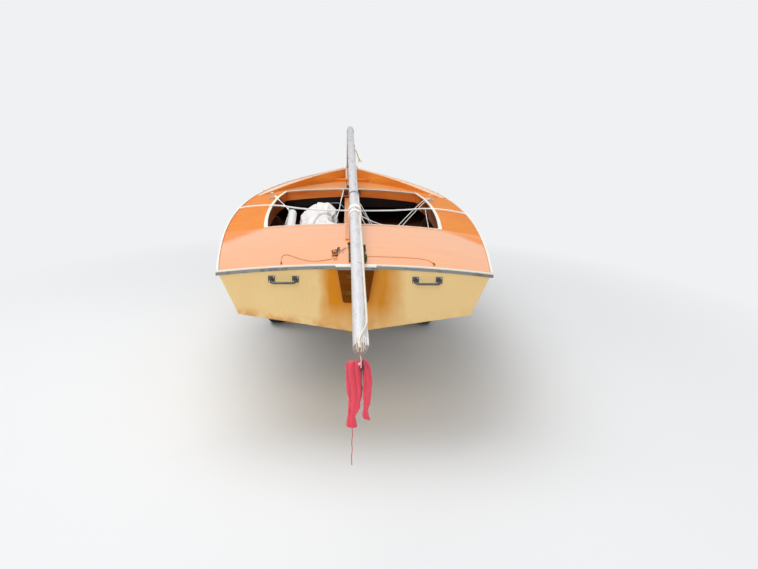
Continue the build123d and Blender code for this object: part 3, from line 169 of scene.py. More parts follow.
class Wiring:
    """Adds nodes to one shader tree and joins them."""

    def __init__(self, tree: bpy.types.NodeTree) -> None:
        """Keeps the tree."""
        self.tree = tree

    @property
    def place(self) -> Signal:
        """The object's own coordinates."""
        return self.add("TexCoord")["Object"]

    def feed(self, socket: bpy.types.NodeSocket, value: object) -> None:
        """Joins a value to an input, or writes a plain one in it.

        Args:
            socket: The input.
            value: The value.
        """
        if isinstance(value, Signal):
            self.tree.links.new(value.socket, socket)
        else:
            socket.default_value = (*value, 1.0) if socket.type == "RGBA" else value

    def fill(self, node: bpy.types.Node, **inputs: object) -> None:
        """Feeds a node's inputs by name, with underscores for spaces."""
        for name, value in inputs.items():
            self.feed(node.inputs[name.replace("_", " ")], value)

    def surface(self, **inputs: object) -> None:
        """Feeds the principled shader's own sockets."""
        self.fill(self.tree.nodes["Principled BSDF"], **inputs)

    def add(self, kind: str, props: dict | None = None, **inputs: object) -> Placed:
        """Adds a node and fills its inputs.

        Args:
            kind: The node's type without its leading words.
            props: Settings of the node itself.
            inputs: A value for each input.

        Returns:
            The node.
        """
        node = self.tree.nodes.new("ShaderNode" + kind)
        for name, value in (props or {}).items():
            setattr(node, name, value)
        self.fill(node, **inputs)
        return Placed(self, node)

    def calc(self, operation: str, *values: object) -> Signal:
        """One step of arithmetic.

        Args:
            operation: Its name.
            values: The one or two values that it works on.

        Returns:
            The result.
        """
        made = self.add("Math", {"operation": operation})
        for socket, value in zip(made.node.inputs, values):
            self.feed(socket, value)
        return made[0]

    def vector(self, operation: str, **inputs: object) -> Placed:
        """One step of vector arithmetic."""
        return self.add("VectorMath", {"operation": operation}, **inputs)

    def mix(self, share: object, first: object, second: object) -> Signal:
        """Two colours mixed.

        Args:
            share: How much of the second one there is.
            first: The first colour.
            second: The second colour.

        Returns:
            The mixed colour.
        """
        made = self.add("Mix", {"data_type": "RGBA"})
        for index, value in ((0, share), (6, first), (7, second)):
            self.feed(made.node.inputs[index], value)
        return made[2]

    def noise(self, vector: Signal, scale: float | Signal, detail: float = 2.0, distortion: float = 0.0) -> Signal:
        """A noise value, as fine, as detailed and as swirled as it says."""
        return self.add("TexNoise", Vector=vector, Scale=scale, Detail=detail, Distortion=distortion)[0]

    def mapped(self, vector: Signal, scale: Point = (1, 1, 1), turn: Point = (0, 0, 0)) -> Signal:
        """A vector turned, in radians, and then stretched."""
        return self.add("Mapping", Vector=self.add("Mapping", Vector=vector, Rotation=turn)[0], Scale=scale)[0]

    def bump(self, height: Signal, strength: float, distance: float) -> Signal:
        """A normal from a height."""
        return self.add("Bump", Height=height, Strength=strength, Distance=distance)[0]

    def parts(self, vector: Signal | None = None) -> tuple[Signal, Signal, Signal]:
        """The three parts of a vector, or else of the place."""
        made = self.add("SeparateXYZ", Vector=vector or self.place)
        return made[0], made[1], made[2]

    def facing(self) -> tuple[Signal, Signal, Signal]:
        """The three parts of the surface's normal."""
        return self.parts(self.add("NewGeometry")["Normal"])

    def effect(self, name: str, **inputs: object) -> Placed:
        """Places one of the shared effects, at the object's own coordinates unless told otherwise.

        Args:
            name: The effect's name.
            inputs: A value for each of its inputs.

        Returns:
            The effect's node.
        """
        node = self.tree.nodes.new("ShaderNodeGroup")
        node.node_tree = bpy.data.node_groups[name]
        self.fill(node, **{"Vector": self.place, **inputs})
        return Placed(self, node)


class Effects:
    """The shader effects that several finishes share, each built once as a node group."""

    def start(self, name: str, numbers: str, outputs: str) -> tuple[Wiring, Placed, bpy.types.Node]:
        """Opens a group that takes a vector and some numbers.

        Args:
            name: The group's name.
            numbers: The names of its numbers.
            outputs: The names of the values that it gives.

        Returns:
            The group's wiring, its inputs and its outputs' node.
        """
        tree = bpy.data.node_groups.new(name, "ShaderNodeTree")
        tree.interface.new_socket("Vector", in_out="INPUT", socket_type="NodeSocketVector")
        for way, labels in (("INPUT", numbers), ("OUTPUT", outputs)):
            for label in labels.split():
                tree.interface.new_socket(label, in_out=way, socket_type="NodeSocketFloat")
        w = Wiring(tree)
        return w, Placed(w, tree.nodes.new("NodeGroupInput")), tree.nodes.new("NodeGroupOutput")

    def grain(self) -> None:
        """Wood grain that runs along X: a broad figure and fine fibres."""
        w, given, out = self.start("wood_grain", "Scale", "Figure Fibre")
        place = w.vector("SCALE", Vector=given["Vector"], Scale=given["Scale"])[0]
        soft = w.noise(w.mapped(place, (0.9, 9, 9)), 1.6, 5.0, 1.4)
        waves = w.add("TexWave", {"bands_direction": "Y"}, Vector=w.mapped(place, (0.22, 1.6, 1.6)),
                      Scale=2.6, Distortion=9.0, Detail=3.0, Detail_Scale=0.8)["Fac"]
        fibre = w.noise(w.mapped(place, (5, 210, 210)), 1.0, 3.0)
        w.fill(out, Figure=(soft * 0.62 + waves * 0.38).spread(0.2, 0.8), Fibre=fibre.spread(0.3, 0.7))

    def unevenness(self) -> None:
        """Slow changes of tone over a surface."""
        w, given, out = self.start("unevenness", "Scale", "Broad Fine")
        broad = w.noise(given["Vector"], given["Scale"], 4.0, 0.6)
        fine = w.noise(given["Vector"], given["Scale"] * 9.0, 5.0)
        w.fill(out, Broad=broad.spread(0.3, 0.7), Fine=fine.spread(0.3, 0.7))

    def grime(self) -> None:
        """Patches and specks of dirt, from none at 0 to thick at 1."""
        w, given, out = self.start("grime", "Scale Amount", "Patches Specks")
        cloud = w.noise(given["Vector"], given["Scale"], 8.0, 0.8)
        patches = ((cloud - (0.78 - given["Amount"] * 0.42)) * 7.0).clamped()
        cells = w.add("TexVoronoi", Vector=given["Vector"], Scale=given["Scale"] * 16.0)
        tone = w.add("SeparateColor", Color=cells["Color"])[0]
        chosen = w.calc("GREATER_THAN", tone, 1.0 - given["Amount"] * 0.5)
        w.fill(out, Patches=patches, Specks=cells["Distance"].spread(0.10, 0.22, 1.0, 0.0) * chosen)

    def brushing(self) -> None:
        """Fine lines along X, as a brush, a mill or a draw die leaves."""
        w, given, out = self.start("brushing", "Scale", "Lines Scuffs")
        place = w.vector("SCALE", Vector=given["Vector"], Scale=given["Scale"])[0]
        lines = w.noise(w.mapped(place, (0.8, 60, 60)), 1.0, 4.0)
        scuffs = w.noise(w.mapped(place, (9, 3, 3), (0, 0, 0.5)), 1.0, 8.0, 2.0)
        w.fill(out, Lines=lines.spread(0.3, 0.7), Scuffs=scuffs.spread(0.58, 0.72))

    def weave(self) -> None:
        """Over and under threads, from two directions of the vector in thread widths."""
        w, given, out = self.start("weave", "Threads", "Height")
        waves = [abs(w.calc("SINE", part * given["Threads"] * math.pi)) for part in w.parts(given["Vector"])[:2]]
        w.fill(out, Height=w.calc("MAXIMUM", *waves))

    def spangle(self) -> None:
        """The crystals of a zinc coat, as a tone for each."""
        w, given, out = self.start("spangle", "Scale", "Tone")
        swirl = w.add("TexNoise", Vector=given["Vector"], Scale=40.0)["Color"]
        warped = w.vector("ADD", Vector=given["Vector"])
        w.feed(warped.node.inputs[1], w.vector("SCALE", Vector=swirl, Scale=0.012)[0])
        cells = w.add("TexVoronoi", Vector=warped[0], Scale=given["Scale"])
        w.fill(out, Tone=w.add("SeparateColor", Color=cells["Color"])[0])

    def build(self) -> None:
        """Builds every shared effect."""
        for make in (self.grain, self.unevenness, self.grime, self.brushing, self.weave, self.spangle):
            make()


@dataclass(frozen=True)
class Finish:
    """One surface finish.

    Args:
        name: The material's name.
        slot: The slot that it belongs to; not used.
    """

    name: str
    slot: str

    def wire(self, w: Wiring) -> None:
        """Feeds the shader of a material's wiring; each kind of finish has its own."""

    def material(self) -> bpy.types.Material:
        """The finished material, built on first use."""
        made = bpy.data.materials.get(self.name)
        if not made:
            made = bpy.data.materials.new(self.name)
            made.use_nodes = True
            self.wire(Wiring(made.node_tree))
        return made

    def dress(self, piece: bpy.types.Object) -> None:
        """Puts the material in every slot of a piece, or in a new one."""
        if not piece.data.materials:
            piece.data.materials.append(None)
        for index in range(len(piece.data.materials)):
            piece.data.materials[index] = self.material()


@dataclass(frozen=True)
class Varnish(Finish):
    """Clear varnish over plywood or timber.

    Args:
        light: The wood's light tone.
        dark: The tone of its figure.
        along: Which way the grain runs.
        scale: How fine the grain is.
        coat: Weight of the gloss coat.
        coat_roughness: Roughness of the gloss coat.
        worn: How much of it is dull or scuffed.
        shine: How strongly the wood itself mirrors.
    """

    light: Colour = srgb(240, 142, 62)
    dark: Colour = srgb(214, 104, 36)
    along: Axis = Axis.ACROSS
    scale: float = 2.2
    coat: float = 0.12
    coat_roughness: float = 0.09
    worn: float = 0.3
    shine: float = 0.22

    def wire(self, w: Wiring) -> None:
        """Grain under the coat, with slow tone changes and a few dull patches."""
        place = w.vector("ABSOLUTE", Vector=w.place)[0] if self.along is Axis.RAKED else w.place
        grain = w.effect("wood_grain", Vector=w.mapped(place, turn=self.along.value), Scale=self.scale)
        tone, dirt = w.effect("unevenness", Scale=1.7), w.effect("grime", Scale=5.0, Amount=self.worn)
        figure = grain["Figure"] * 0.62 + grain["Fibre"] * 0.24
        colour = w.mix(figure + tone["Broad"] * 0.14, self.light, self.dark)
        colour = w.mix(dirt["Specks"] * 0.5, colour, srgb(120, 66, 30))
        w.surface(Base_Color=self.toned(w, colour), Roughness=dirt["Patches"] * 0.28 + 0.3, Coat_IOR=1.5,
                  Specular_IOR_Level=self.shine, Coat_Weight=self.gloss(w), Coat_Roughness=self.coat_roughness,
                  Normal=w.bump(tone["Fine"] * 0.6 + figure * 0.4, 0.1, 0.0005))

    def toned(self, w: Wiring, colour: Signal) -> Signal:
        """The wood's colour as it is."""
        return colour

    def gloss(self, w: Wiring) -> float | Signal:
        """The same coat all over."""
        return self.coat


@dataclass(frozen=True)
class PolishedDeck(Varnish):
    """The aft deck's varnish, glossy in its middle and dull towards its corners, with painted sheen as a paler tone in
    its middle.

    Args:
        span: Half breadth of the glossy part at the cockpit.
        widening: How much broader it is abreast of the transom.
        polished: Weight of its gloss coat.
        seam: Where the pale seam by the cockpit's starboard corner starts, and its run aft for each metre out.
        matte: The deeper tone of the dull corners, outside the paler painted sheen.
    """

    span: float = 0.545
    widening: float = 0.26
    polished: float = 0.70
    seam: Point = (0.53, 1.086, -0.535)
    matte: Colour = srgb(238, 132, 34)

    def beyond(self, w: Wiring) -> Signal:
        """How far a place is beyond the glossy part, below 0 inside it."""
        x, y, _ = w.parts()
        reach = y.spread(0.55 - MIDDLE_Y, 1.085 - MIDDLE_Y, self.span + self.widening, self.span)
        return abs(x) + (w.noise(w.place, 5.0, 3.0) - 0.5) * 0.10 - reach

    def toned(self, w: Wiring, colour: Signal) -> Signal:
        """The wood, paler in the glossy middle as painted sheen and deeper in the dull corners, with a pale filled
        seam at the starboard side.
        """
        x, y, _ = w.parts()
        out, start, slope = self.seam
        off = abs(y - ((x - out) * slope + (start - MIDDLE_Y)))
        line = off.spread(0.004, 0.010, 0.75, 0.0) * w.calc("GREATER_THAN", x, out)
        # Painted sheen: the glossy middle keeps the paler wood tone, and the dull corners mix to the deeper one.
        colour = w.mix(self.beyond(w).spread(-0.04, 0.04, 0.0, 0.9), colour, self.matte)
        return w.mix(line, colour, srgb(252, 200, 142))

    def gloss(self, w: Wiring) -> Signal:
        """A coat that fades out beyond the glossy part."""
        return self.beyond(w).spread(-0.04, 0.04, self.polished, self.coat)


@dataclass(frozen=True)
class CoamingBoard(Varnish):
    """The coaming's varnish: a bright band under the deck's edge, painted shade below it forward where the cockpit is
    dark, and painted shade on its sides aft.

    Args:
        edge: Height of the forward band's lower edge at the middle.
        deep: The colour of the painted shade under it.
    """

    edge: float = 0.996
    deep: Colour = srgb(26, 18, 14)

    def toned(self, w: Wiring, colour: Signal) -> Signal:
        """The board with painted shade aft of its forward band, and darker painted shade under it."""
        x, y, z = w.parts()
        level = z + abs(x) * abs(x) * (1 / 10.8) + abs(x) * 0.025
        forward = y.spread(-0.05, 0.20)
        # Painted shade: near black under the forward band, for the dark cockpit under the foredeck.
        under = level.spread(self.edge - 0.002, self.edge, 1.0, 0.0) * forward.spread(0.6, 1.0)
        # Painted shade: aft of the forward band the board mixes towards dark brown.
        return w.mix(under, w.mix(1.0 - forward, colour, srgb(146, 74, 32)), self.deep)


@dataclass(frozen=True)
class PaintedLightPad(Varnish):
    """Varnish that is a lighter tone on the faces that don't face aft, as painted light: lit tops and bevels beside a
    darker aft face.

    Args:
        side: That tone, a painted highlight.
    """

    side: Colour = srgb(206, 132, 62)

    def toned(self, w: Wiring, colour: Signal) -> Signal:
        """The wood, with the painted highlight tone on every face that doesn't face aft."""
        return w.mix(abs(w.facing()[1]).spread(0.93, 0.7, 0.0, 0.85), colour, self.side)


@dataclass(frozen=True)
class HullPaint(Finish):
    """Old cream paint over plywood, with grain showing through and grime low down.

    Args:
        colour: The clean paint.
        shade: The paint's darker tone.
        along: Which way the grain and brush marks run.
        grime: How dirty it is.
        low: Height under which it is dirtiest.
        high: Height over which it is clean.
        shine: How strongly it mirrors.
        coat: Weight of its gloss.
        within: Which way the faces inside the hull look, besides inward: along the length (1) or up (2).
    """

    colour: Colour = srgb(238, 212, 162)
    shade: Colour = srgb(222, 190, 138)
    along: Axis = Axis.ALONG
    grime: float = 0.35
    low: float = 0.60
    high: float = 0.82
    shine: float = 0.5
    coat: float = 0.25
    within: int = 2

    def stained(self, w: Wiring, colour: Signal) -> Signal:
        """The paint without a stain."""
        return colour

    def wire(self, w: Wiring) -> None:
        """Semi-gloss paint, duller where it is dirty, with painted shade in dark brown on the faces inside the hull.
        """
        x, _, z = w.parts()
        fibre = w.effect("wood_grain", Vector=w.mapped(w.place, turn=self.along.value), Scale=3.0)["Fibre"]
        tone = w.effect("unevenness", Scale=2.3)
        reach = z.spread(self.low, self.high, 1.0, 0.0)
        dirt = w.effect("grime", Scale=9.0, Amount=reach * self.grime)["Patches"]
        rust = w.effect("grime", Vector=w.mapped(w.place, turn=(0.4, 0.2, 0.9)), Scale=22.0,
                        Amount=reach * (self.grime * 1.2))["Specks"]
        colour = w.mix(fibre * 0.30 + tone["Broad"] * 0.45, self.colour, self.shade)
        colour = w.mix(dirt * 0.45, colour, srgb(150, 128, 88))
        colour = self.stained(w, w.mix(rust * 0.75, colour, srgb(150, 84, 30)))
        relief = fibre * 0.6 + tone["Fine"] * 0.4
        facing = w.facing()
        looks_in = w.calc("MAXIMUM", facing[0] * w.calc("SIGN", x) * -1.0, facing[self.within])
        # Painted shade: the faces inside the hull are dark brown, for the dark cockpit.
        bare = w.mix(relief, srgb(74, 40, 20), srgb(46, 26, 14))
        w.surface(Base_Color=w.mix(w.calc("GREATER_THAN", looks_in, 0.35), colour, bare), Coat_Roughness=0.22,
                  Roughness=dirt * 0.3 + 0.38, Specular_IOR_Level=self.shine, Coat_Weight=self.coat,
                  Normal=w.bump(relief, 0.14, 0.0005))


@dataclass(frozen=True)
class StainedTransom(HullPaint):
    """The transom's paint, worn through to amber wood round the rudder's pad.

    Args:
        amber: The stain's full colour.
        reach_port: How far the stain goes to port.
        reach_starboard: How far it goes to starboard.
    """

    amber: Colour = srgb(208, 130, 8)
    reach_port: float = 0.18
    reach_starboard: float = 0.235

    def stained(self, w: Wiring, colour: Signal) -> Signal:
        """The paint with the amber stain over it, and rust along its lower edge."""
        x, _, z = w.parts()
        across = x + (w.noise(w.mapped(w.place, (1, 1, 0.4)), 13.0, 6.0) - 0.5) * 0.09
        fade = w.noise(w.mapped(w.place, (1.0, 1.0, 0.25)), 24.0, 4.0)
        mask = across.spread(-self.reach_port, -0.125) * across.spread(0.14, self.reach_starboard, 1.0, 0.0)
        mask = mask * fade.spread(0.25, 0.6, 0.86, 1.0) * z.spread(0.63, 0.75, 0.30, 1.0)
        edge = (z - (abs(x) * 0.158 + 0.612)).spread(0.0, 0.045, 1.0, 0.0)
        rust = edge * x.spread(-0.1, 0.1, 0.75, 0.2) * w.noise(w.place, 22.0, 5.0).spread(0.38, 0.62)
        return w.mix(rust, w.mix(mask, colour, self.amber), srgb(206, 132, 44))


@dataclass(frozen=True)
class Paint(Finish):
    """Plain paint or enamel.

    Args:
        colour: The paint.
        worn: The colour of its worn and dirty places.
        amount: How worn it is.
        roughness: Its roughness when clean.
        coat: Weight of its gloss.
    """

    colour: Colour
    worn: Colour
    amount: float = 0.4
    roughness: float = 0.42
    coat: float = 0.2

    def wire(self, w: Wiring) -> None:
        """Slow tone changes, patches of wear and fine specks."""
        tone, dirt = w.effect("unevenness", Scale=6.0), w.effect("grime", Scale=16.0, Amount=self.amount)
        mask = (dirt["Patches"] * 0.7 + tone["Broad"] * 0.2).clamped()
        colour = w.mix(dirt["Specks"] * 0.6, w.mix(mask, self.colour, self.worn), srgb(96, 70, 44))
        w.surface(Base_Color=colour, Roughness=mask * 0.3 + self.roughness, Coat_Weight=self.coat,
                  Coat_Roughness=0.15, Normal=w.bump(tone["Fine"], 0.1, 0.0004))


@dataclass(frozen=True)
class Metal(Finish):
    """Bare metal with drawn lines, scuffs and tarnish.

    Args:
        colour: The clean metal.
        tarnish: The colour of its tarnish.
        amount: How tarnished it is.
        roughness: Its roughness when clean.
        along: Which way it was drawn or brushed.
    """

    colour: Colour
    tarnish: Colour
    amount: float
    roughness: float
    along: Axis = Axis.ALONG

    def tarnish_and_shade(self, w: Wiring) -> float | Signal:
        """No more tarnish or painted shade in one place than in another."""
        return 0.0

    def wire(self, w: Wiring) -> None:
        """Metal with its lines in the roughness and the height."""
        brush = w.effect("brushing", Vector=w.mapped(w.place, turn=self.along.value), Scale=6.0)
        dirt = w.effect("grime", Scale=18.0, Amount=self.amount)["Patches"]
        # The mask carries the tarnish, and on the mast also its painted shade.
        mask = ((dirt * 0.65 + brush["Scuffs"] * 0.2).clamped() + self.tarnish_and_shade(w)).clamped()
        colour = w.mix(brush["Lines"] * 0.18, w.mix(mask, self.colour, self.tarnish), self.tarnish)
        w.surface(Base_Color=colour, Metallic=1.0 - mask * 0.5, Normal=w.bump(brush["Lines"], 0.08, 0.0003),
                  Roughness=brush["Lines"] * 0.14 + mask * 0.3 + self.roughness)


@dataclass(frozen=True)
class MastSkin(Metal):
    """The mast's aluminium, with painted shade underneath, and greyer towards its foot."""

    def tarnish_and_shade(self, w: Wiring) -> Signal:
        """Painted shade on the skin that faces down, grey towards the foot, and tarnish in streaks."""
        patch = w.noise(w.mapped(w.place, (3.0, 1.0, 3.0)), 7.0, 5.0, 0.5)
        # Painted shade: the skin that faces down takes the tarnish colour in patches.
        under = w.facing()[2].spread(-0.1, 0.75, 0.55, 0.0) * patch.spread(0.35, 0.6)
        streak = w.noise(w.mapped(w.place, (42.0, 3.2, 42.0)), 1.0, 4.0, 0.4)
        return under + w.parts()[1].spread(-2.4, 2.2, 0.0, 0.30) + streak.spread(0.52, 0.66, 0.0, 0.30)


@dataclass(frozen=True)
class Galvanised(Finish):
    """Hot-dipped zinc on steel, dulled by weather.

    Args:
        bright: The lightest crystals.
        dull: The darkest crystals.
        rust: How much rust shows.
    """

    bright: Colour = srgb(196, 199, 201)
    dull: Colour = srgb(138, 142, 146)
    rust: float = 0.25

    def wire(self, w: Wiring) -> None:
        """Crystals of several tones, dust over them and a little rust."""
        slow = w.effect("unevenness", Scale=3.0)
        dirt = w.effect("grime", Scale=11.0, Amount=self.rust)["Patches"]
        share = w.effect("spangle", Scale=55.0)["Tone"] * 0.55 + slow["Broad"] * 0.35
        w.surface(Base_Color=w.mix(dirt * 0.55, w.mix(share, self.bright, self.dull), srgb(124, 92, 62)),
                  Metallic=0.8 - dirt * 0.6, Roughness=share.spread(0.0, 1.0, 0.36, 0.6),
                  Normal=w.bump(slow["Fine"], 0.12, 0.0006))


@dataclass(frozen=True)
class Rubber(Finish):
    """Black rubber, greyed by dust.

    Args:
        colour: The clean rubber.
        dust: The dust's colour.
        amount: How dusty it is.
    """

    colour: Colour = srgb(38, 38, 40)
    dust: Colour = srgb(122, 112, 96)
    amount: float = 0.55

    def wire(self, w: Wiring) -> None:
        """Dust in patches over dark rubber with a fine grain."""
        dirt = w.effect("grime", Scale=14.0, Amount=self.amount)["Patches"]
        mask = (dirt * 0.34 + w.effect("unevenness", Scale=9.0)["Broad"] * 0.16).clamped()
        w.surface(Base_Color=w.mix(mask, self.colour, self.dust), Roughness=mask * 0.35 + 0.55,
                  Normal=w.bump(w.noise(w.place, 420.0, 3.0), 0.25, 0.0004))


@dataclass(frozen=True)
class Cloth(Finish):
    """Woven cloth, on the piece's own UV map.

    Args:
        colour: The clean cloth.
        soiled: The colour of its stains, and of the painted shade between its threads.
        amount: How soiled it is.
        threads: Threads to one unit of the UV map.
        sheen: Weight of its soft sheen.
        deep: The colour of the painted shade deep in its folds, by the attribute hollow.
    """

    colour: Colour
    soiled: Colour
    amount: float
    threads: float = 300.0
    sheen: float = 0.2
    deep: Colour = srgb(158, 148, 140)

    def wire(self, w: Wiring) -> None:
        """Weave in the height, with stains, slow changes of tone, and painted shade between the threads and in the
        folds.
        """
        weave = w.effect("weave", Vector=w.add("TexCoord")["UV"], Threads=self.threads)["Height"]
        tone = w.effect("unevenness", Scale=7.0)
        dirt = w.effect("grime", Scale=13.0, Amount=self.amount)["Patches"]
        mask = (dirt * 0.5 + tone["Broad"] * 0.28).clamped()
        # Painted shade: the cloth darkens towards its soiled tone between the threads.
        colour = w.mix((1.0 - weave) * 0.25, w.mix(mask, self.colour, self.soiled), self.soiled)
        # Painted shade: the attribute hollow darkens the folds towards the deep colour.
        hollow = w.add("Attribute", {"attribute_name": "hollow"})["Fac"]
        w.surface(Base_Color=w.mix((hollow * 0.85).clamped(), colour, self.deep), Sheen_Weight=self.sheen,
                  Roughness=tone["Fine"] * 0.12 + 0.78, Normal=w.bump(weave * 0.5 + tone["Fine"] * 0.5, 0.3, 0.0006))


@dataclass(frozen=True)
class Pile(Finish):
    """Dark marine carpet.

    Args:
        colour: The pile.
        dust: Its dusty tone.
    """

    colour: Colour = srgb(58, 58, 62)
    dust: Colour = srgb(104, 98, 90)

    def wire(self, w: Wiring) -> None:
        """Matted tufts."""
        tufts = w.noise(w.place, 260.0, 5.0, 0.6)
        share = tufts * 0.6 + w.effect("unevenness", Scale=5.0)["Broad"] * 0.3
        w.surface(Base_Color=w.mix(share, self.colour, self.dust), Roughness=tufts * 0.1 + 0.85,
                  Normal=w.bump(tufts, 0.9, 0.003))


@dataclass(frozen=True)
class Rope(Finish):
    """Fibres of a rope; its strands come from the geometry.

    Args:
        colour: The clean rope.
        soiled: Its dirty tone.
    """

    colour: Colour
    soiled: Colour

    def wire(self, w: Wiring) -> None:
        """Fibres and a little dirt."""
        fibres = w.noise(w.place, 700.0, 3.0, 0.5)
        share = fibres * 0.3 + w.effect("grime", Scale=20.0, Amount=0.5)["Patches"] * 0.5
        w.surface(Base_Color=w.mix(share, self.colour, self.soiled), Roughness=fibres * 0.2 + 0.7,
                  Normal=w.bump(fibres, 0.5, 0.0008))


PLY, WHITE, STEEL = "varnished_ply", "white_trim", "dark_steel"


class Finishes(Enum):
    """Every finish of the boat and its trailer, by what it is on."""

    # Painted sheen: the aft deck's wood tones are paler than the side decks', for the sky's reflection in its glossy
    # middle.
    AFT_DECK = PolishedDeck("aft_deck_varnish", PLY, srgb(252, 168, 88), srgb(238, 140, 62), coat=0.01, shine=0.03)
    SIDE_DECK = Varnish("side_deck_varnish", PLY, srgb(250, 161, 62), srgb(212, 102, 14), scale=2.8, coat=0.0,
                        shine=0.004)
    # Painted sheen: the foredeck's wood is much paler than the other decks', for the sky's reflection on it.
    FOREDECK = Varnish("foredeck_painted_sheen_varnish", PLY, srgb(255, 208, 148), srgb(252, 180, 112), scale=2.4, coat=0.9)
    COAMING = CoamingBoard("coaming_varnish", PLY, srgb(252, 144, 64), srgb(226, 108, 42), worn=0.4, coat=0.05,
                           shine=0.15)
    BOARDS = Varnish("splash_board_varnish", PLY, srgb(252, 170, 78), srgb(198, 100, 24), Axis.RAKED, coat=0.02,
                     shine=0.006)
    # Painted light: the foredeck pad's top is a lighter tone and its aft face darker, as light and shade.
    FOREDECK_PAD = PaintedLightPad("foredeck_pad_varnish", PLY, srgb(226, 124, 36), srgb(204, 104, 26), coat=0.03,
                               shine=0.02, side=srgb(255, 176, 104))
    DARK_WOOD = Varnish("dark_varnish_wood", "dark_varnish", srgb(84, 44, 18), srgb(44, 22, 9), Axis.ALONG,
                        coat_roughness=0.3, worn=0.6)
    # Painted highlight: the rudder pad's bevels and sides are a lighter tone.
    PAD = PaintedLightPad("rudder_pad_varnish", "dark_varnish", srgb(132, 70, 12), srgb(96, 50, 6), scale=4.0, coat=0.0,
                      shine=0.02)
    LIGHT_WOOD = Varnish("light_wood_varnish", "light_wood", srgb(240, 166, 100), srgb(214, 132, 70), Axis.ALONG,
                         coat_roughness=0.2)
    CREAM = HullPaint("hull_cream_paint", "cream_paint")
    TRANSOM = StainedTransom("transom_cream_paint", "cream_paint", srgb(239, 207, 146), srgb(224, 186, 124),
                             Axis.UPRIGHT, 0.6, 0.64, 0.78, 0.15, 0.04, 1)
    KEEL = HullPaint("keel_grimy_paint", "cream_paint", srgb(128, 108, 76), srgb(88, 70, 48), grime=0.9)
    CAPS = Paint("splash_cap_peach_paint", WHITE, srgb(252, 214, 184), srgb(236, 184, 146), 0.3)
    TRIM = Paint("trim_white_paint", WHITE, srgb(246, 242, 230), srgb(206, 190, 158), 0.3)
    MAST_FOOT = Paint("mast_foot_pale_metal", "rail_aluminium", srgb(206, 200, 184), srgb(150, 140, 120), 0.4, 0.5,
                      0.0)
    MAST = MastSkin("mast_aluminium_skin", "mast_aluminium", srgb(236, 235, 238), srgb(140, 136, 133), 0.36, 0.34)
    HANDLE = Metal("handle_dull_steel", "rail_aluminium", srgb(98, 97, 95), srgb(54, 50, 46), 0.5, 0.4, Axis.ACROSS)
    PLUG = Paint("mast_plug_grey", "rail_aluminium", srgb(160, 138, 128), srgb(104, 84, 76), 0.5, 0.5, 0.0)
    RAIL = Metal("rail_aluminium_skin", "rail_aluminium", srgb(142, 143, 140), srgb(84, 80, 72), 0.5, 0.36,
                 Axis.ACROSS)
    BRONZE = Metal("gudgeon_bronze", "bronze", srgb(112, 84, 40), srgb(70, 52, 26), 0.7, 0.46)
    BRIGHT_STEEL = Metal("bright_steel", "fitting_steel", srgb(206, 206, 204), srgb(118, 108, 92), 0.4, 0.2)
    DARK_STEEL = Metal("dark_steel_skin", STEEL, srgb(84, 76, 66), srgb(66, 48, 34), 0.6, 0.5)
    WIRE = Metal("dark_rigging_wire", STEEL, srgb(140, 102, 80), srgb(98, 64, 48), 0.5, 0.5)
    DECK_WIRE = Metal("brown_deck_wire", STEEL, srgb(196, 136, 104), srgb(150, 96, 70), 0.4, 0.5)
    OLIVE_METAL = Metal("olive_tarnished_metal", STEEL, srgb(92, 90, 62), srgb(56, 52, 34), 0.7, 0.5)
    ZINC = Galvanised("galvanised_coat", "galvanised")
    BOOM = Paint("boom_white_paint", "boom_paint", srgb(238, 238, 236), srgb(190, 186, 176), 0.3, 0.35, 0.3)
    WHEEL = Paint("wheel_enamel", "wheel_paint", srgb(232, 232, 228), srgb(150, 128, 104), 0.5, 0.35, 0.3)
    FENDER = Paint("fender_black_paint", "fender_paint", srgb(44, 44, 46), srgb(92, 84, 74), 0.45, 0.4, 0.3)
    TYRE = Rubber("tyre_black_rubber", "tyre_rubber")
    BLACK_RUBBER = Rubber("stop_black_rubber", "rubber_black", amount=0.4)
    CANVAS = Cloth("sail_canvas", "canvas", srgb(250, 247, 246), srgb(224, 216, 210), 0.3)
    # Painted shade: the rag's folds darken towards its last, deep red colour.
    RED_CLOTH = Cloth("red_rag_cloth", "red_cloth", srgb(234, 72, 92), srgb(184, 42, 62), 0.4, 160.0, 0.3,
                      srgb(96, 14, 28))
    CARPET = Pile("bunk_pile_carpet", "carpet")
    RED_STRING = Rope("red_rag_thread", "red_cloth", srgb(206, 92, 92), srgb(150, 60, 60))
    PINK_STRING = Rope("pink_string", "red_cloth", srgb(240, 196, 200), srgb(206, 120, 130))
    ROPE = Rope("white_laid_rope", "rope_white", srgb(254, 253, 250), srgb(240, 237, 230))
    HALYARD = Rope("cream_halyard", "rope_white", srgb(244, 236, 218), srgb(206, 190, 158))
    FRAY = Rope("frayed_yellow_cord", "rope_white", srgb(226, 210, 168), srgb(170, 146, 100))
    GREY_ROPE = Rope("grey_blue_rope", "rope_white", srgb(150, 158, 172), srgb(104, 108, 118))
    TIMBER = Varnish("bare_weathered_timber", "bare_timber", srgb(166, 148, 122), srgb(116, 100, 78), Axis.UPRIGHT,
                     coat=0.0, worn=0.7)

    def dress(self, piece: bpy.types.Object) -> None:
        """Puts the finish on a piece."""
        self.value.dress(piece)


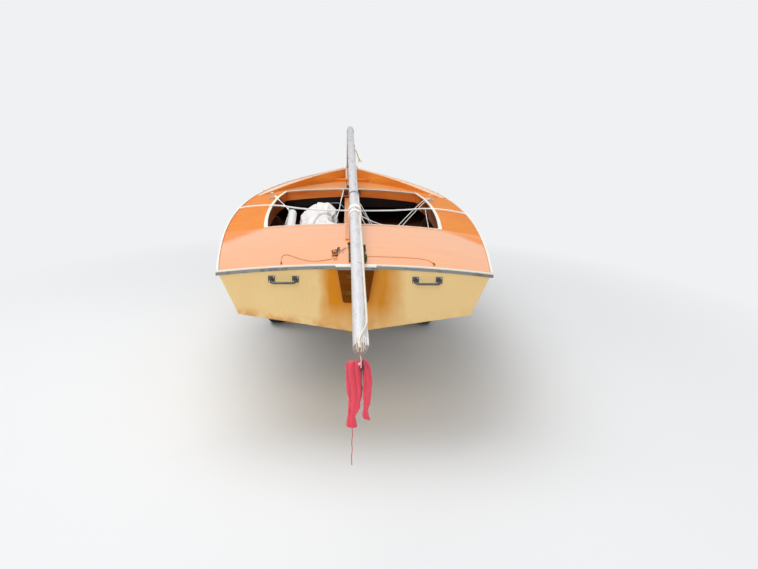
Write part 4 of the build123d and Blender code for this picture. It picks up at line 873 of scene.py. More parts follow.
NODE_FINISH = {
    "CREAM": "hull_bottom_port hull_bottom_starboard hull_side_port hull_side_starboard stem",
    "TRANSOM": "transom", "AFT_DECK": "aft_deck", "SIDE_DECK": "side_deck_port side_deck_starboard",
    "FOREDECK": "foredeck", "BOARDS": "splash_boards", "FOREDECK_PAD": "foredeck_pad", "CAPS": "splash_caps",
    "KEEL": "keel_strip", "MAST_FOOT": "mast_foot", "COAMING": "coaming",
    "DARK_WOOD": "cockpit_floor floor_frames centreboard_trunk centreboard", "PAD": "rudder_pad",
    "LIGHT_WOOD": "trunk_cap", "TRIM": "deck_edge_trim transom_cap cockpit_trim", "MAST": "mast",
    "RAIL": "transom_rail", "HANDLE": "handles", "PLUG": "mast_head_plug", "BRONZE": "gudgeons",
    "DARK_STEEL": "mast_step springs", "OLIVE_METAL": "deck_tracks", "BRIGHT_STEEL": "fairleads chainplates bow_eye",
    "CANVAS": "sail_bag", "BOOM": "boom", "RED_CLOTH": "rag", "ROPE": "tie_down", "TYRE": "tyre_port tyre_starboard",
    "WHEEL": "wheel_port wheel_starboard", "CARPET": "bunks", "FENDER": "fenders", "BLACK_RUBBER": "bow_stop",
    "ZINC": "axle trailer_tongue frame_rails cross_members bunk_posts winch_post winch coupler jack",
    "TIMBER": "mast_crutch"}


def spot(at: Point, turn: Point = (0.0, 0.0, 0.0)) -> Matrix:
    """Where a piece goes: the place of its own origin, and its turn about X, Y and Z in degrees."""
    return Matrix.LocRotScale(Vector(at), Euler([math.radians(angle) for angle in turn]), None)


def toward(at: Point, aim: Point) -> Matrix:
    """Where a piece goes whose own Z points along a direction."""
    return Matrix.Translation(Vector(at)) @ Vector(aim).to_track_quat("Z", "Y").to_matrix().to_4x4()


def settle(piece: bpy.types.Object, finish: Finishes, body: str = BOAT, stands_for: tuple = ()) -> bpy.types.Object:
    """Dresses a finished piece, makes it ride and hides the CAD nodes that it stands for.

    Args:
        piece: The piece.
        finish: Its finish.
        body: The body that it rides on.
        stands_for: The CAD nodes that it replaces.

    Returns:
        The piece.
    """
    finish.dress(piece)
    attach(piece, body)
    if stands_for:
        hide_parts(*stands_for)
    LOG.info("made %s", piece.name)
    return piece


def linked(name: str, data: bpy.types.ID) -> bpy.types.Object:
    """A new object of the scene that shows some data."""
    made = bpy.data.objects.new(name, data)
    bpy.context.scene.collection.objects.link(made)
    return made


class Bench:
    """Makes one piece with the modelling operators: a primitive, shaped, and copied to its places."""

    def __init__(self, name: str, finish: Finishes) -> None:
        """Clears the bench for a piece of that name and finish."""
        bpy.ops.object.select_all(action="DESELECT")
        self.name, self.finish = name, finish

    def take(self) -> "Bench":
        """Names the new primitive and opens it for editing."""
        self.piece = bpy.context.active_object
        self.piece.name = self.piece.data.name = self.name
        bpy.ops.object.transform_apply(location=False, rotation=True, scale=True)
        bpy.ops.object.mode_set(mode="EDIT")
        return self

    def rod(self, radius: float, depth: float, sides: int = 20) -> "Bench":
        """Starts from a cylinder along Z."""
        bpy.ops.mesh.primitive_cylinder_add(vertices=sides, radius=radius, depth=depth)
        return self.take()

    def block(self, x: float, y: float, z: float) -> "Bench":
        """Starts from a block with those sides."""
        bpy.ops.mesh.primitive_cube_add(size=1, scale=(x, y, z))
        return self.take()

    def ring(self, radius: float, thickness: float) -> "Bench":
        """Starts from a ring round Z."""
        bpy.ops.mesh.primitive_torus_add(major_radius=radius, minor_radius=thickness, major_segments=28,
                                         minor_segments=10)
        return self.take()

    def every(self) -> "Bench":
        """Selects the whole mesh."""
        bpy.ops.mesh.select_all(action="SELECT")
        return self

    def pick(self, kind: str, test: Test) -> "Bench":
        """Selects faces or edges by their place.

        Args:
            kind: FACE or EDGE.
            test: Takes the middle, and the normal of a face or the run of an edge.

        Returns:
            The bench.
        """
        bpy.ops.mesh.select_mode(type=kind)
        bpy.ops.mesh.select_all(action="DESELECT")
        work = bmesh.from_edit_mesh(self.piece.data)
        for face in work.faces if kind == "FACE" else ():
            if test(face.calc_center_median(), face.normal):
                face.select_set(True)
        for edge in work.edges if kind == "EDGE" else ():
            start, end = (corner.co for corner in edge.verts)
            if test((start + end) / 2, (end - start).normalized()):
                edge.select_set(True)
        bmesh.update_edit_mesh(self.piece.data)
        return self

    def ends(self, way: Point = (0, 0, 1)) -> "Bench":
        """Selects the faces that look one way."""
        return self.pick("FACE", lambda at, normal: normal.dot(Vector(way)) > 0.9)

    def rim(self, above: float, width: float, steps: int = 2, both: bool = False) -> "Bench":
        """Bevels the level edges over a height.

        Args:
            above: The height.
            width: The bevel's width.
            steps: How many segments it has.
            both: Whether the edges as far below the middle are taken too.

        Returns:
            The bench.
        """
        def level(at: Vector, run: Vector) -> bool:
            """Whether an edge is one of them."""
            return (abs(at.z) if both else at.z) > above and abs(run.z) < 0.5

        return self.pick("EDGE", level).chamfer(width, steps)

    def inset(self, width: float, rise: float = 0.0) -> "Bench":
        """Insets the chosen faces and raises what is inside."""
        bpy.ops.mesh.inset(thickness=width, depth=rise)
        return self

    def pull(self, by: Point) -> "Bench":
        """Extrudes the chosen faces."""
        bpy.ops.mesh.extrude_region_move(TRANSFORM_OT_translate={"value": by})
        return self

    def sink(self, depth: float) -> "Bench":
        """Extrudes the chosen faces inwards along their normals."""
        bpy.ops.mesh.extrude_region_shrink_fatten(TRANSFORM_OT_shrink_fatten={"value": -depth})
        return self

    def scale(self, by: Point, about: Point = (0.0, 0.0, 0.0)) -> "Bench":
        """Scales what is chosen about a point."""
        bpy.ops.transform.resize(value=by, center_override=about)
        return self

    def chamfer(self, width: float, steps: int = 2) -> "Bench":
        """Bevels the chosen edges."""
        bpy.ops.mesh.bevel(offset=width, segments=steps, affect="EDGES", clamp_overlap=True)
        return self

    def score(self, at: Point, normal: Point, clear: bool = False) -> "Bench":
        """Cuts the whole mesh by a plane, and clears what is past it if told to."""
        self.every()
        bpy.ops.mesh.bisect(plane_co=at, plane_no=normal, clear_outer=clear, use_fill=clear)
        return self

    def lay(self, spots: Sequence[Matrix], body: str = BOAT, stands_for: tuple = ()) -> bpy.types.Object:
        """Copies the shape to its places and makes the copies one piece.

        Args:
            spots: Where each copy goes.
            body: The body that the piece rides on.
            stands_for: The CAD nodes that it replaces.

        Returns:
            The piece.
        """
        bpy.ops.object.mode_set(mode="OBJECT")
        bpy.ops.object.shade_smooth_by_angle(angle=SMOOTH_UNDER)
        parts = [self.piece] + [linked(self.name, self.piece.data.copy()) for _ in spots[1:]]
        for part, place in zip(parts, spots):
            part.data.transform(place)
            part.select_set(True)
        if len(parts) > 1:
            bpy.ops.object.join()
        return settle(self.piece, self.finish, body, stands_for)


def grown(name: str, corners: list, faces: list) -> bpy.types.Object:
    """A mesh from its corners and faces.

    Args:
        name: The object's name.
        corners: The places of its corners.
        faces: The corners of each face.

    Returns:
        The object, smoothly shaded.
    """
    mesh = bpy.data.meshes.new(name)
    mesh.from_pydata([tuple(corner) for corner in corners], [], faces)
    mesh.update()
    mesh.shade_smooth()
    return linked(name, mesh)


def tube(rows: int, around: int, base: int = 0) -> list[tuple[int, int, int, int]]:
    """The faces of a tube whose corners are numbered row by row.

    Args:
        rows: How many rows it has.
        around: How many corners a row has.
        base: The number of its first corner.

    Returns:
        The corners of each face.
    """
    faces = []
    for row in range(rows - 1):
        for step in range(around):
            a, b = base + row * around + step, base + row * around + (step + 1) % around
            faces.append((a, a + around, b + around, b))
    return faces


@dataclass
class Line:
    """A rope, cord or wire along a smooth route.

    Args:
        name: The piece's name.
        finish: Its finish.
        radius: Its radius.
        points: Its route's points.
        strands: How many strands a laid rope has.
        pitch: How far a strand runs in one turn, in radii.
        share: A strand's radius, as a share of the rope's.
        sides: How many sides a strand has.
        stride: The distance between a strand's rings, in radii.
    """

    name: str
    finish: Finishes
    radius: float
    points: Sequence[Point]
    strands: int = 3
    pitch: float = 7.5
    share: float = 0.54
    sides: int = 6
    stride: float = 0.7

    def spline(self, thickness: float) -> bpy.types.Object:
        """The route as a smooth curve of that thickness."""
        data = bpy.data.curves.new(self.name, "CURVE")
        data.dimensions, data.resolution_u = "3D", 8
        run = data.splines.new("NURBS")
        run.points.add(len(self.points) - 1)
        for knot, place in zip(run.points, self.points):
            knot.co = (*place, 1.0)
        run.order_u, run.use_endpoint_u = 3, True
        data.bevel_depth, data.bevel_resolution, data.use_fill_caps = thickness, 3, True
        return linked(self.name, data)

    def track(self, step: float) -> list[Vector]:
        """Points read along the smooth route.

        Args:
            step: The distance between them.

        Returns:
            The points.
        """
        guide = self.spline(0.0)
        mesh = bpy.data.meshes.new_from_object(guide)
        read = [corner.co.copy() for corner in mesh.vertices]
        bpy.data.objects.remove(guide)
        bpy.data.meshes.remove(mesh)
        places, gone, need = [read[0]], 0.0, step
        for start, end in zip(read, read[1:]):
            run = (end - start).length
            while run > 1e-9 and gone + run >= need:
                places.append(start.lerp(end, (need - gone) / run))
                need += step
            gone += run
        return places

    def length(self) -> float:
        """How long the route is."""
        places = self.track(self.radius)
        return sum((end - start).length for start, end in zip(places, places[1:]))

    def smooth(self) -> bpy.types.Object:
        """The line as one plain wire."""
        return settle(self.spline(self.radius), self.finish)

    def laid(self, stands_for: tuple = ()) -> bpy.types.Object:
        """The line as strands that wind round each other.

        Args:
            stands_for: The CAD nodes that it replaces.

        Returns:
            The rope.
        """
        places, side, rings = self.track(self.radius * self.stride), Vector((0.31, 0.11, 0.94)), []
        for index, place in enumerate(places):
            ahead = (places[min(index + 1, len(places) - 1)] - places[max(index - 1, 0)]).normalized()
            side = (side - ahead * side.dot(ahead)).normalized()
            rings.append((place, side.copy(), ahead.cross(side)))
        out, thick = self.radius * (1 - self.share), self.radius * self.share
        corners, faces = [], []
        for strand in range(self.strands):
            base = len(corners)
            for index, (place, one, other) in enumerate(rings):
                turn = math.tau * (index * self.stride / self.pitch + strand / self.strands)
                middle = place + out * (math.cos(turn) * one + math.sin(turn) * other)
                for step in range(self.sides):
                    angle = math.tau * step / self.sides
                    corners.append(middle + thick * (math.cos(angle) * one + math.sin(angle) * other))
            faces += [(a, d, c, b) for a, b, c, d in tube(len(rings), self.sides, base)]
            faces.append(tuple(base + step for step in reversed(range(self.sides))))
            faces.append(tuple(len(corners) - self.sides + step for step in range(self.sides)))
        return settle(grown(self.name, corners, faces), self.finish, stands_for=stands_for)


@dataclass
class MastRigging:
    """What is made fast to the stowed mast: its halyard, the lashings, and a frayed tail.

    Args:
        halyard: Places along the halyard, as a distance forward, from the centre line and round the mast.
        fray: For each strand of its frayed end: its turn round the mast, and how far it hangs over the edge.
        lashings: Where each lashing starts and ends, its turns and its line's radius.
        tail: The frayed tail's steps from its root.
    """

    halyard: tuple = ((1.50, 0.034, 8), (1.20, 0.034, -6), (0.85, 0.035, 4), (0.50, 0.034, -2), (0.15, 0.0340, 6),
                      (-0.15, 0.0315, 14), (-0.40, 0.0300, 19), (-0.64, 0.0298, 20), (-0.80, 0.0296, 22),
                      (-0.87, 0.0290, 34), (-0.92, 0.0285, 54), (-0.97, 0.0275, 76), (-1.005, 0.0275, 90),
                      (-1.028, 0.0275, 96), (-1.043, 0.022, 98), (-1.045, 0.010, 98))
    fray: tuple = ((48, 0.004), (66, -0.002), (82, -0.005), (108, -0.004), (124, 0.003))
    lashings: tuple = ((1.455, 1.485, 3, 0.0022), (0.98, 1.045, 5, 0.003), (0.865, 0.90, 3, 0.003))
    tail: tuple = ((0, 0, 0), (0.008, 0.0, 0.002), (0.022, 0.002, -0.012), (0.034, 0.004, -0.040),
                   (0.042, 0.004, -0.066), (0.052, 0.003, -0.092))

    def rope(self) -> None:
        """The halyard down the mast's starboard side, and its frayed end over the mast's head."""
        Line("mast_halyard", Finishes.HALYARD, 0.0042, [on_mast(*place) for place in self.halyard]).laid()
        bpy.ops.object.select_all(action="DESELECT")
        for number, (turn, low) in enumerate(self.fray):
            side, up = math.cos(math.radians(turn)), math.sin(math.radians(turn))
            end = on_mast(-1.0445) + Vector((0.021 * side, 0.0, 0.0))
            route = [on_mast(-0.985, 0.0262, turn), on_mast(-1.022, 0.0265, turn), on_mast(-1.040, 0.0225, turn),
                     end + Vector((0, -0.001, 0.016 * up)), end + Vector((0.002 * side, -0.001, low))]
            strand = Line(f"halyard_strand_{number}", Finishes.HALYARD, 0.0014, route).spline(0.0014)
            strand.select_set(True)
            bpy.context.view_layer.objects.active = strand
        bpy.ops.object.join()
        settle(strand, Finishes.HALYARD)

    def lashing(self, number: int, start: float, end: float, turns: int, radius: float) -> None:
        """One lashing wound round the mast and its halyard.

        Args:
            number: Its number.
            start: Where it starts.
            end: Where it ends.
            turns: How many turns it has.
            radius: Its line's radius.
        """
        points, steps = [], 12
        for index in range(turns * steps + 1):
            angle = 360.0 * index / steps + 90
            out = 0.0262 + radius + 0.0145 * max(0.0, math.cos(math.radians(angle))) ** 3
            along = start + (end - start) * index / (turns * steps) + 0.003 * math.sin(index * 2.3)
            points.append(on_mast(along, out / math.cos(math.pi / steps), angle))
        last = points[-1]
        points += [last + Vector(step) for step in ((0.006, -0.006, -0.002), (0.03, -0.02, -0.010),
                                                    (0.038, -0.03, -0.03), (0.04, -0.034, -0.055))]
        Line(f"mast_lashing_{number}", Finishes.ROPE if number else Finishes.GREY_ROPE, radius, points).smooth()

    def frayed_tail(self) -> None:
        """The frayed end of a stay that hangs from the mast forward of the cockpit."""
        root = on_mast(3.66, 0.0375, 50)
        points = [root + Vector(step) for step in self.tail]
        tail, ends = Line("frayed_tail", Finishes.FRAY, 0.0050, points), []
        for number, lean in enumerate(((0.032, -0.004, -0.024), (-0.004, 0.004, -0.034), (0.014, 0.0, -0.030))):
            fork = [points[-2], points[-1], points[-1] + Vector(lean) * 0.5, points[-1] + Vector(lean)]
            ends.append(Line(f"frayed_end_{number}", Finishes.FRAY, 0.0030, fork).smooth())
        piece = tail.smooth()
        round(tail.length(), 3)
        2 * tail.radius

    def hardware(self) -> None:
        """The bolts at the hounds, and the rivets of the mast's foot."""
        def round_mast(y: float, out: float, turns: Sequence[float]) -> list[Matrix]:
            """Places on the mast's skin that point away from its centre line."""
            return [toward(on_mast(y, out, turn), on_mast(y, 1, turn) - on_mast(y)) for turn in turns]

        bench = Bench("mast_hound_bolts", Finishes.BRIGHT_STEEL).rod(0.009, 0.006, 6)
        bench.ends().inset(0.003).pull((0, 0, 0.005)).rim(0.0025, 0.0008).lay(round_mast(4.35, 0.037, (90, 180, 270)))
        bench = Bench("mast_foot_rivets", Finishes.BRIGHT_STEEL).rod(0.005, 0.004, 12).rim(0.001, 0.0018, 3)
        turns = (20, 70, 110, 160, 250, 290)
        bench.lay(round_mast(5.80, 0.0385, turns) + round_mast(5.90, 0.0385, turns))

    def build(self) -> None:
        """Builds it all."""
        self.rope()
        for number, lashing in enumerate(self.lashings):
            self.lashing(number, *lashing)
        self.frayed_tail()
        self.hardware()


@dataclass
class Rag:
    """The red rag knotted to the mast head, its two bunched ends hanging.

    Args:
        top: The height of its upper edge.
        front: Where its middle hangs.
        left: For steps down the port end: how far down, its port and starboard edges, and its half depth.
        right: The same for the starboard end.
        around: How many corners a row has.
        levels: How many rows lie between two steps.
        thread: The loose thread's points.
        tie: The points of the string that holds it.
    """

    top: float = 0.8085
    front: float = -3.7035
    left: tuple = (
        (-0.001, -0.026, -0.002, 0.004), (0.001, -0.037, 0.004, 0.009), (0.008, -0.043, 0.006, 0.0115),
        (0.030, -0.043, 0.006, 0.0115), (0.060, -0.042, 0.0065, 0.011), (0.090, -0.041, 0.007, 0.0105),
        (0.108, -0.038, 0.006, 0.010), (0.120, -0.034, 0.004, 0.009), (0.135, -0.034, 0.002, 0.0085),
        (0.152, -0.034, 0.000, 0.0080), (0.163, -0.035, -0.004, 0.0075), (0.174, -0.035, -0.012, 0.0065),
        (0.186, -0.037, -0.014, 0.0065), (0.200, -0.0395, -0.010, 0.007), (0.2135, -0.0405, -0.007, 0.0075))
    right: tuple = (
        (-0.003, 0.002, 0.016, 0.004), (-0.001, 0.003, 0.022, 0.008), (0.008, 0.006, 0.029, 0.010),
        (0.025, 0.0095, 0.034, 0.011), (0.050, 0.0115, 0.037, 0.011), (0.075, 0.012, 0.038, 0.0105),
        (0.100, 0.0125, 0.036, 0.010), (0.122, 0.013, 0.034, 0.009), (0.140, 0.0135, 0.032, 0.008),
        (0.150, 0.014, 0.028, 0.0065), (0.158, 0.014, 0.025, 0.006), (0.170, 0.012, 0.027, 0.006),
        (0.182, 0.011, 0.031, 0.0065), (0.192, 0.013, 0.034, 0.0065))
    around: int = 84
    levels: int = 6
    thread: tuple = ((-0.022, -3.704, 0.600), (-0.023, -3.706, 0.587), (-0.020, -3.707, 0.567),
                     (-0.024, -3.705, 0.541), (-0.021, -3.704, 0.514), (-0.024, -3.706, 0.485),
                     (-0.022, -3.705, 0.461))
    tie: tuple = ((0.000, -3.692, 0.828), (0.001, -3.700, 0.824), (0.003, -3.706, 0.818), (0.004, -3.712, 0.812),
                  (0.001, -3.716, 0.806), (-0.004, -3.716, 0.800), (-0.005, -3.717, 0.806), (0.000, -3.718, 0.809),
                  (0.004, -3.717, 0.803), (0.003, -3.716, 0.792))

    def end(self, rows: tuple, pleats: int, phase: float, base: int) -> tuple[list, list, list]:
        """One hanging end, bunched into pleats.

        Args:
            rows: Its rows from the top down.
            pleats: How many pleats it has.
            phase: Where the first pleat starts.
            base: The number of its first corner.

        Returns:
            Its corners, its faces and how much painted shade each corner gets, in its folds, at the knot and in the
            gap between the ends.
        """
        corners, hollows, finer = [], [], []
        for upper, lower in zip(rows, rows[1:]):
            finer += [[a + (b - a) * step / self.levels for a, b in zip(upper, lower)] for step in range(self.levels)]
        finer.append(rows[-1])
        for down, low, high, depth in finer:
            middle, half = (low + high) / 2, (high - low) / 2
            tight = 0.62 * math.exp(-down / 0.06) + 0.30
            wander = 1.6 * noise.noise(Vector((phase, down * 14, 0.3))) + phase
            for step in range(self.around):
                angle = math.tau * step / self.around
                cosine, sine = math.cos(angle), math.sin(angle)
                pleat = abs(math.sin(pleats * angle / 2 + wander + down * 9 * sine)) - 0.6
                crumple = noise.noise(Vector((cosine * 1.7 + phase, sine * 1.7, down * 26)))
                rough = noise.noise(Vector((cosine * 4, sine * 4 + phase, down * 55))) * 0.0020
                x = middle + half * cosine * (1.0 + 0.06 * crumple)
                y = self.front - depth * sine * (1.0 + tight * pleat + 0.30 * crumple) + rough
                corners.append((x + rough, y, self.top - down - 0.004 * math.sin(angle + phase) * down / 0.2))
                # Painted shade: dark at the knot, in the gap between the two ends and in the pleats' valleys.
                knot = 1.3 * math.exp(-(((x - 0.006) / 0.009) ** 2) - ((down - 0.018) / 0.018) ** 2)
                gap = 0.9 * math.exp(-(((x - 0.008) / 0.004) ** 2)) * (down < 0.15)
                hollows.append(max(knot, gap, min(1.0, max(0.0, -0.35 - pleat) * 3.2)))
        return corners, tube(len(finer), self.around, base) + [tuple(range(base, base + self.around))], hollows

    def build(self) -> None:
        """Builds the rag, its knot and its loose thread."""
        corners, faces, hollows = self.end(self.left, 7, 0.4, 0)
        more, others, deeper = self.end(self.right, 6, 2.1, len(corners))
        piece = grown("rag_cloth", corners + more, faces + others)
        # The painted shade is stored as the attribute hollow, which the cloth's finish reads.
        piece.data.attributes.new("hollow", "FLOAT", "POINT").data.foreach_set("value", hollows + deeper)
        layer = piece.data.uv_layers.new(name="threads")
        for loop in piece.data.loops:
            row, step = divmod(loop.vertex_index, self.around)
            layer.data[loop.index].uv = (step / self.around, row * 0.0125)
        bpy.ops.object.select_all(action="DESELECT")
        bpy.context.view_layer.objects.active = piece
        wall = piece.modifiers.new("cloth_thickness", "SOLIDIFY")
        wall.thickness, wall.offset = 0.0011, -1.0
        bpy.ops.object.modifier_apply(modifier=wall.name)
        settle(piece, Finishes.RED_CLOTH, stands_for=("rag",))
        string = Line("rag_thread", Finishes.RED_STRING, 0.0014, self.thread).smooth()
        tie = Line("rag_tie", Finishes.PINK_STRING, 0.0022, self.tie).smooth()


@dataclass
class SailBundle:
    """The sail, folded and dumped in the cockpit, as stiff cloth that creases.

    Args:
        sections: For each: how far forward, its half width, its height, and where its ridge is across it.
        rim: The section's shape: across and up, as shares of the half width and height.
        middle: How far to starboard its middle is.
        floor: The height of what it lies on.
        cell: The size of the cloth's cells.
        cap: How far the cloth may move.
        frames: How long it settles.
        arch: The fold that arches over its after end: its middle, its height, and its half width and height.
    """

    sections: tuple = ((1.350, 0.062, 0.150, 0.1), (1.470, 0.100, 0.178, 0.3), (1.620, 0.122, 0.216, 0.45),
                       (1.800, 0.138, 0.222, 0.40), (1.960, 0.142, 0.226, 0.20), (2.120, 0.140, 0.250, 0.05),
                       (2.290, 0.154, 0.324, 0.0), (2.400, 0.138, 0.282, 0.0), (2.520, 0.092, 0.205, 0.0),
                       (2.625, 0.060, 0.165, 0.0))
    rim: tuple = ((-0.72, 0.0), (-0.98, 0.14), (-1.0, 0.32), (-0.84, 0.58), (-0.50, 0.80), (-0.03, 1.0), (0.58, 0.93),
                  (0.86, 0.76), (0.99, 0.44), (1.0, 0.16), (0.72, 0.0), (0.0, 0.0))
    middle: float = -0.262
    floor: float = 0.042
    cell: float = 0.013
    cap: float = 0.026
    frames: int = 22
    arch: tuple[float, float, float, float] = (-0.209, 0.846, 0.084, 0.083)

    def shell(self) -> bpy.types.Object:
        """The bundle's rough shape, ready for the cloth."""
        corners, count = [], len(self.rim)
        for number, (y, half, height, ridge) in enumerate(self.sections):
            for step, (across, up) in enumerate(self.rim):
                crease = 0.013 * noise.noise(Vector((number * 1.9, step * 2.7, 0.5))) * (up > 0.1)
                x = self.middle + across * half * (1 - ridge * up * 0.3) + ridge * up * half + crease
                corners.append(on_hull(x, y, self.floor + (height - self.floor) * up + crease))
        last = tuple(len(corners) - count + step for step in reversed(range(count)))
        return grown("sail_bundle", corners, tube(len(self.sections), count) + [tuple(range(count)), last])

    def settle_cloth(self, piece: bpy.types.Object) -> None:
        """Runs the cloth on the remeshed shell and keeps the result within its cap.

        Args:
            piece: The shell.
        """
        bpy.ops.object.select_all(action="DESELECT")
        piece.select_set(True)
        bpy.context.view_layer.objects.active = piece
        piece.data.remesh_voxel_size = self.cell
        bpy.ops.object.voxel_remesh()
        before = [corner.co.copy() for corner in piece.data.vertices]
        pins = piece.vertex_groups.new(name="pins")
        for corner in piece.data.vertices:
            low = 1.0 - min(1.0, max(0.0, (corner.co.z - on_hull(0, corner.co.y + MIDDLE_Y, self.floor).z) / 0.05))
            pins.add([corner.index], low, "REPLACE")
        cloth = piece.modifiers.new("sailcloth", "CLOTH")
        rules = cloth.settings
        rules.quality, rules.mass = 5, 0.25
        rules.tension_stiffness = rules.compression_stiffness = 30
        rules.shear_stiffness, rules.bending_stiffness = 12, 0.5
        rules.use_pressure, rules.uniform_pressure_force = True, 0.15
        rules.shrink_min, rules.effector_weights.gravity = -0.18, 0.0
        rules.vertex_group_mass = "pins"
        cloth.collision_settings.use_self_collision = False
        for number in range(1, self.frames + 1):
            bpy.context.scene.frame_set(number)
        bpy.ops.object.modifier_apply(modifier=cloth.name)
        for corner, was in zip(piece.data.vertices, before):
            move = corner.co - was
            if move.length > self.cap:
                corner.co = was + move * (self.cap / move.length)
        bpy.context.scene.frame_set(1)

    def crease(self, piece: bpy.types.Object) -> None:
        """Presses the sharp ridges into it that hard sailcloth keeps when it is stuffed away, and stores the painted
        shade of its valleys and folds.

        Args:
            piece: The bundle.
        """
        moves, hollows = [], []
        x_arch, z_arch, wide, tall = self.arch
        for corner in piece.data.vertices:
            x, y, z = corner.co
            place = Vector((x, y, z * 0.55))
            place += noise.noise_vector(place * 5.0) * 0.05
            ridge = abs(noise.noise(place * 7.5 + Vector((3.1, 0.0, 1.7))))
            valley = max(0.0, 1.0 - abs(noise.noise(place * 6.0 + Vector((0.0, 7.3, 0.4)))) / 0.10)
            round_arch = math.hypot((x - x_arch) / wide, max(0.0, z - z_arch) / tall)
            fold = math.exp(-(((round_arch - 1.0) / 0.10) ** 2)) * (-0.78 < y < -0.36)
            small = abs(noise.noise(place * 19.0 + Vector((5.2, 0.0, 2.8))))
            moves.append(corner.normal * (0.004 - 0.016 * ridge - 0.005 * small - 0.004 * valley - 0.010 * fold))
            # Painted shade: darker in the valleys, along the arch's fold and in the small creases.
            hollows.append(min(1.0, 0.34 * valley ** 2 + 0.75 * fold ** 2 + 0.22 * max(0.0, 1.0 - small / 0.08)))
        for corner, move in zip(piece.data.vertices, moves):
            corner.co += move
        piece.data.attributes.new("hollow", "FLOAT", "POINT").data.foreach_set("value", hollows)

    def build(self) -> None:
        """Builds the bundle."""
        piece = self.shell()
        bpy.context.view_layer.objects.active = piece
        self.settle_cloth(piece)
        finer = piece.modifiers.new("finer", "SUBSURF")
        finer.levels = finer.render_levels = 1
        bpy.ops.object.modifier_apply(modifier=finer.name)
        self.crease(piece)
        piece.data.shade_smooth()
        settle(piece, Finishes.CANVAS, stands_for=("sail_bag",))


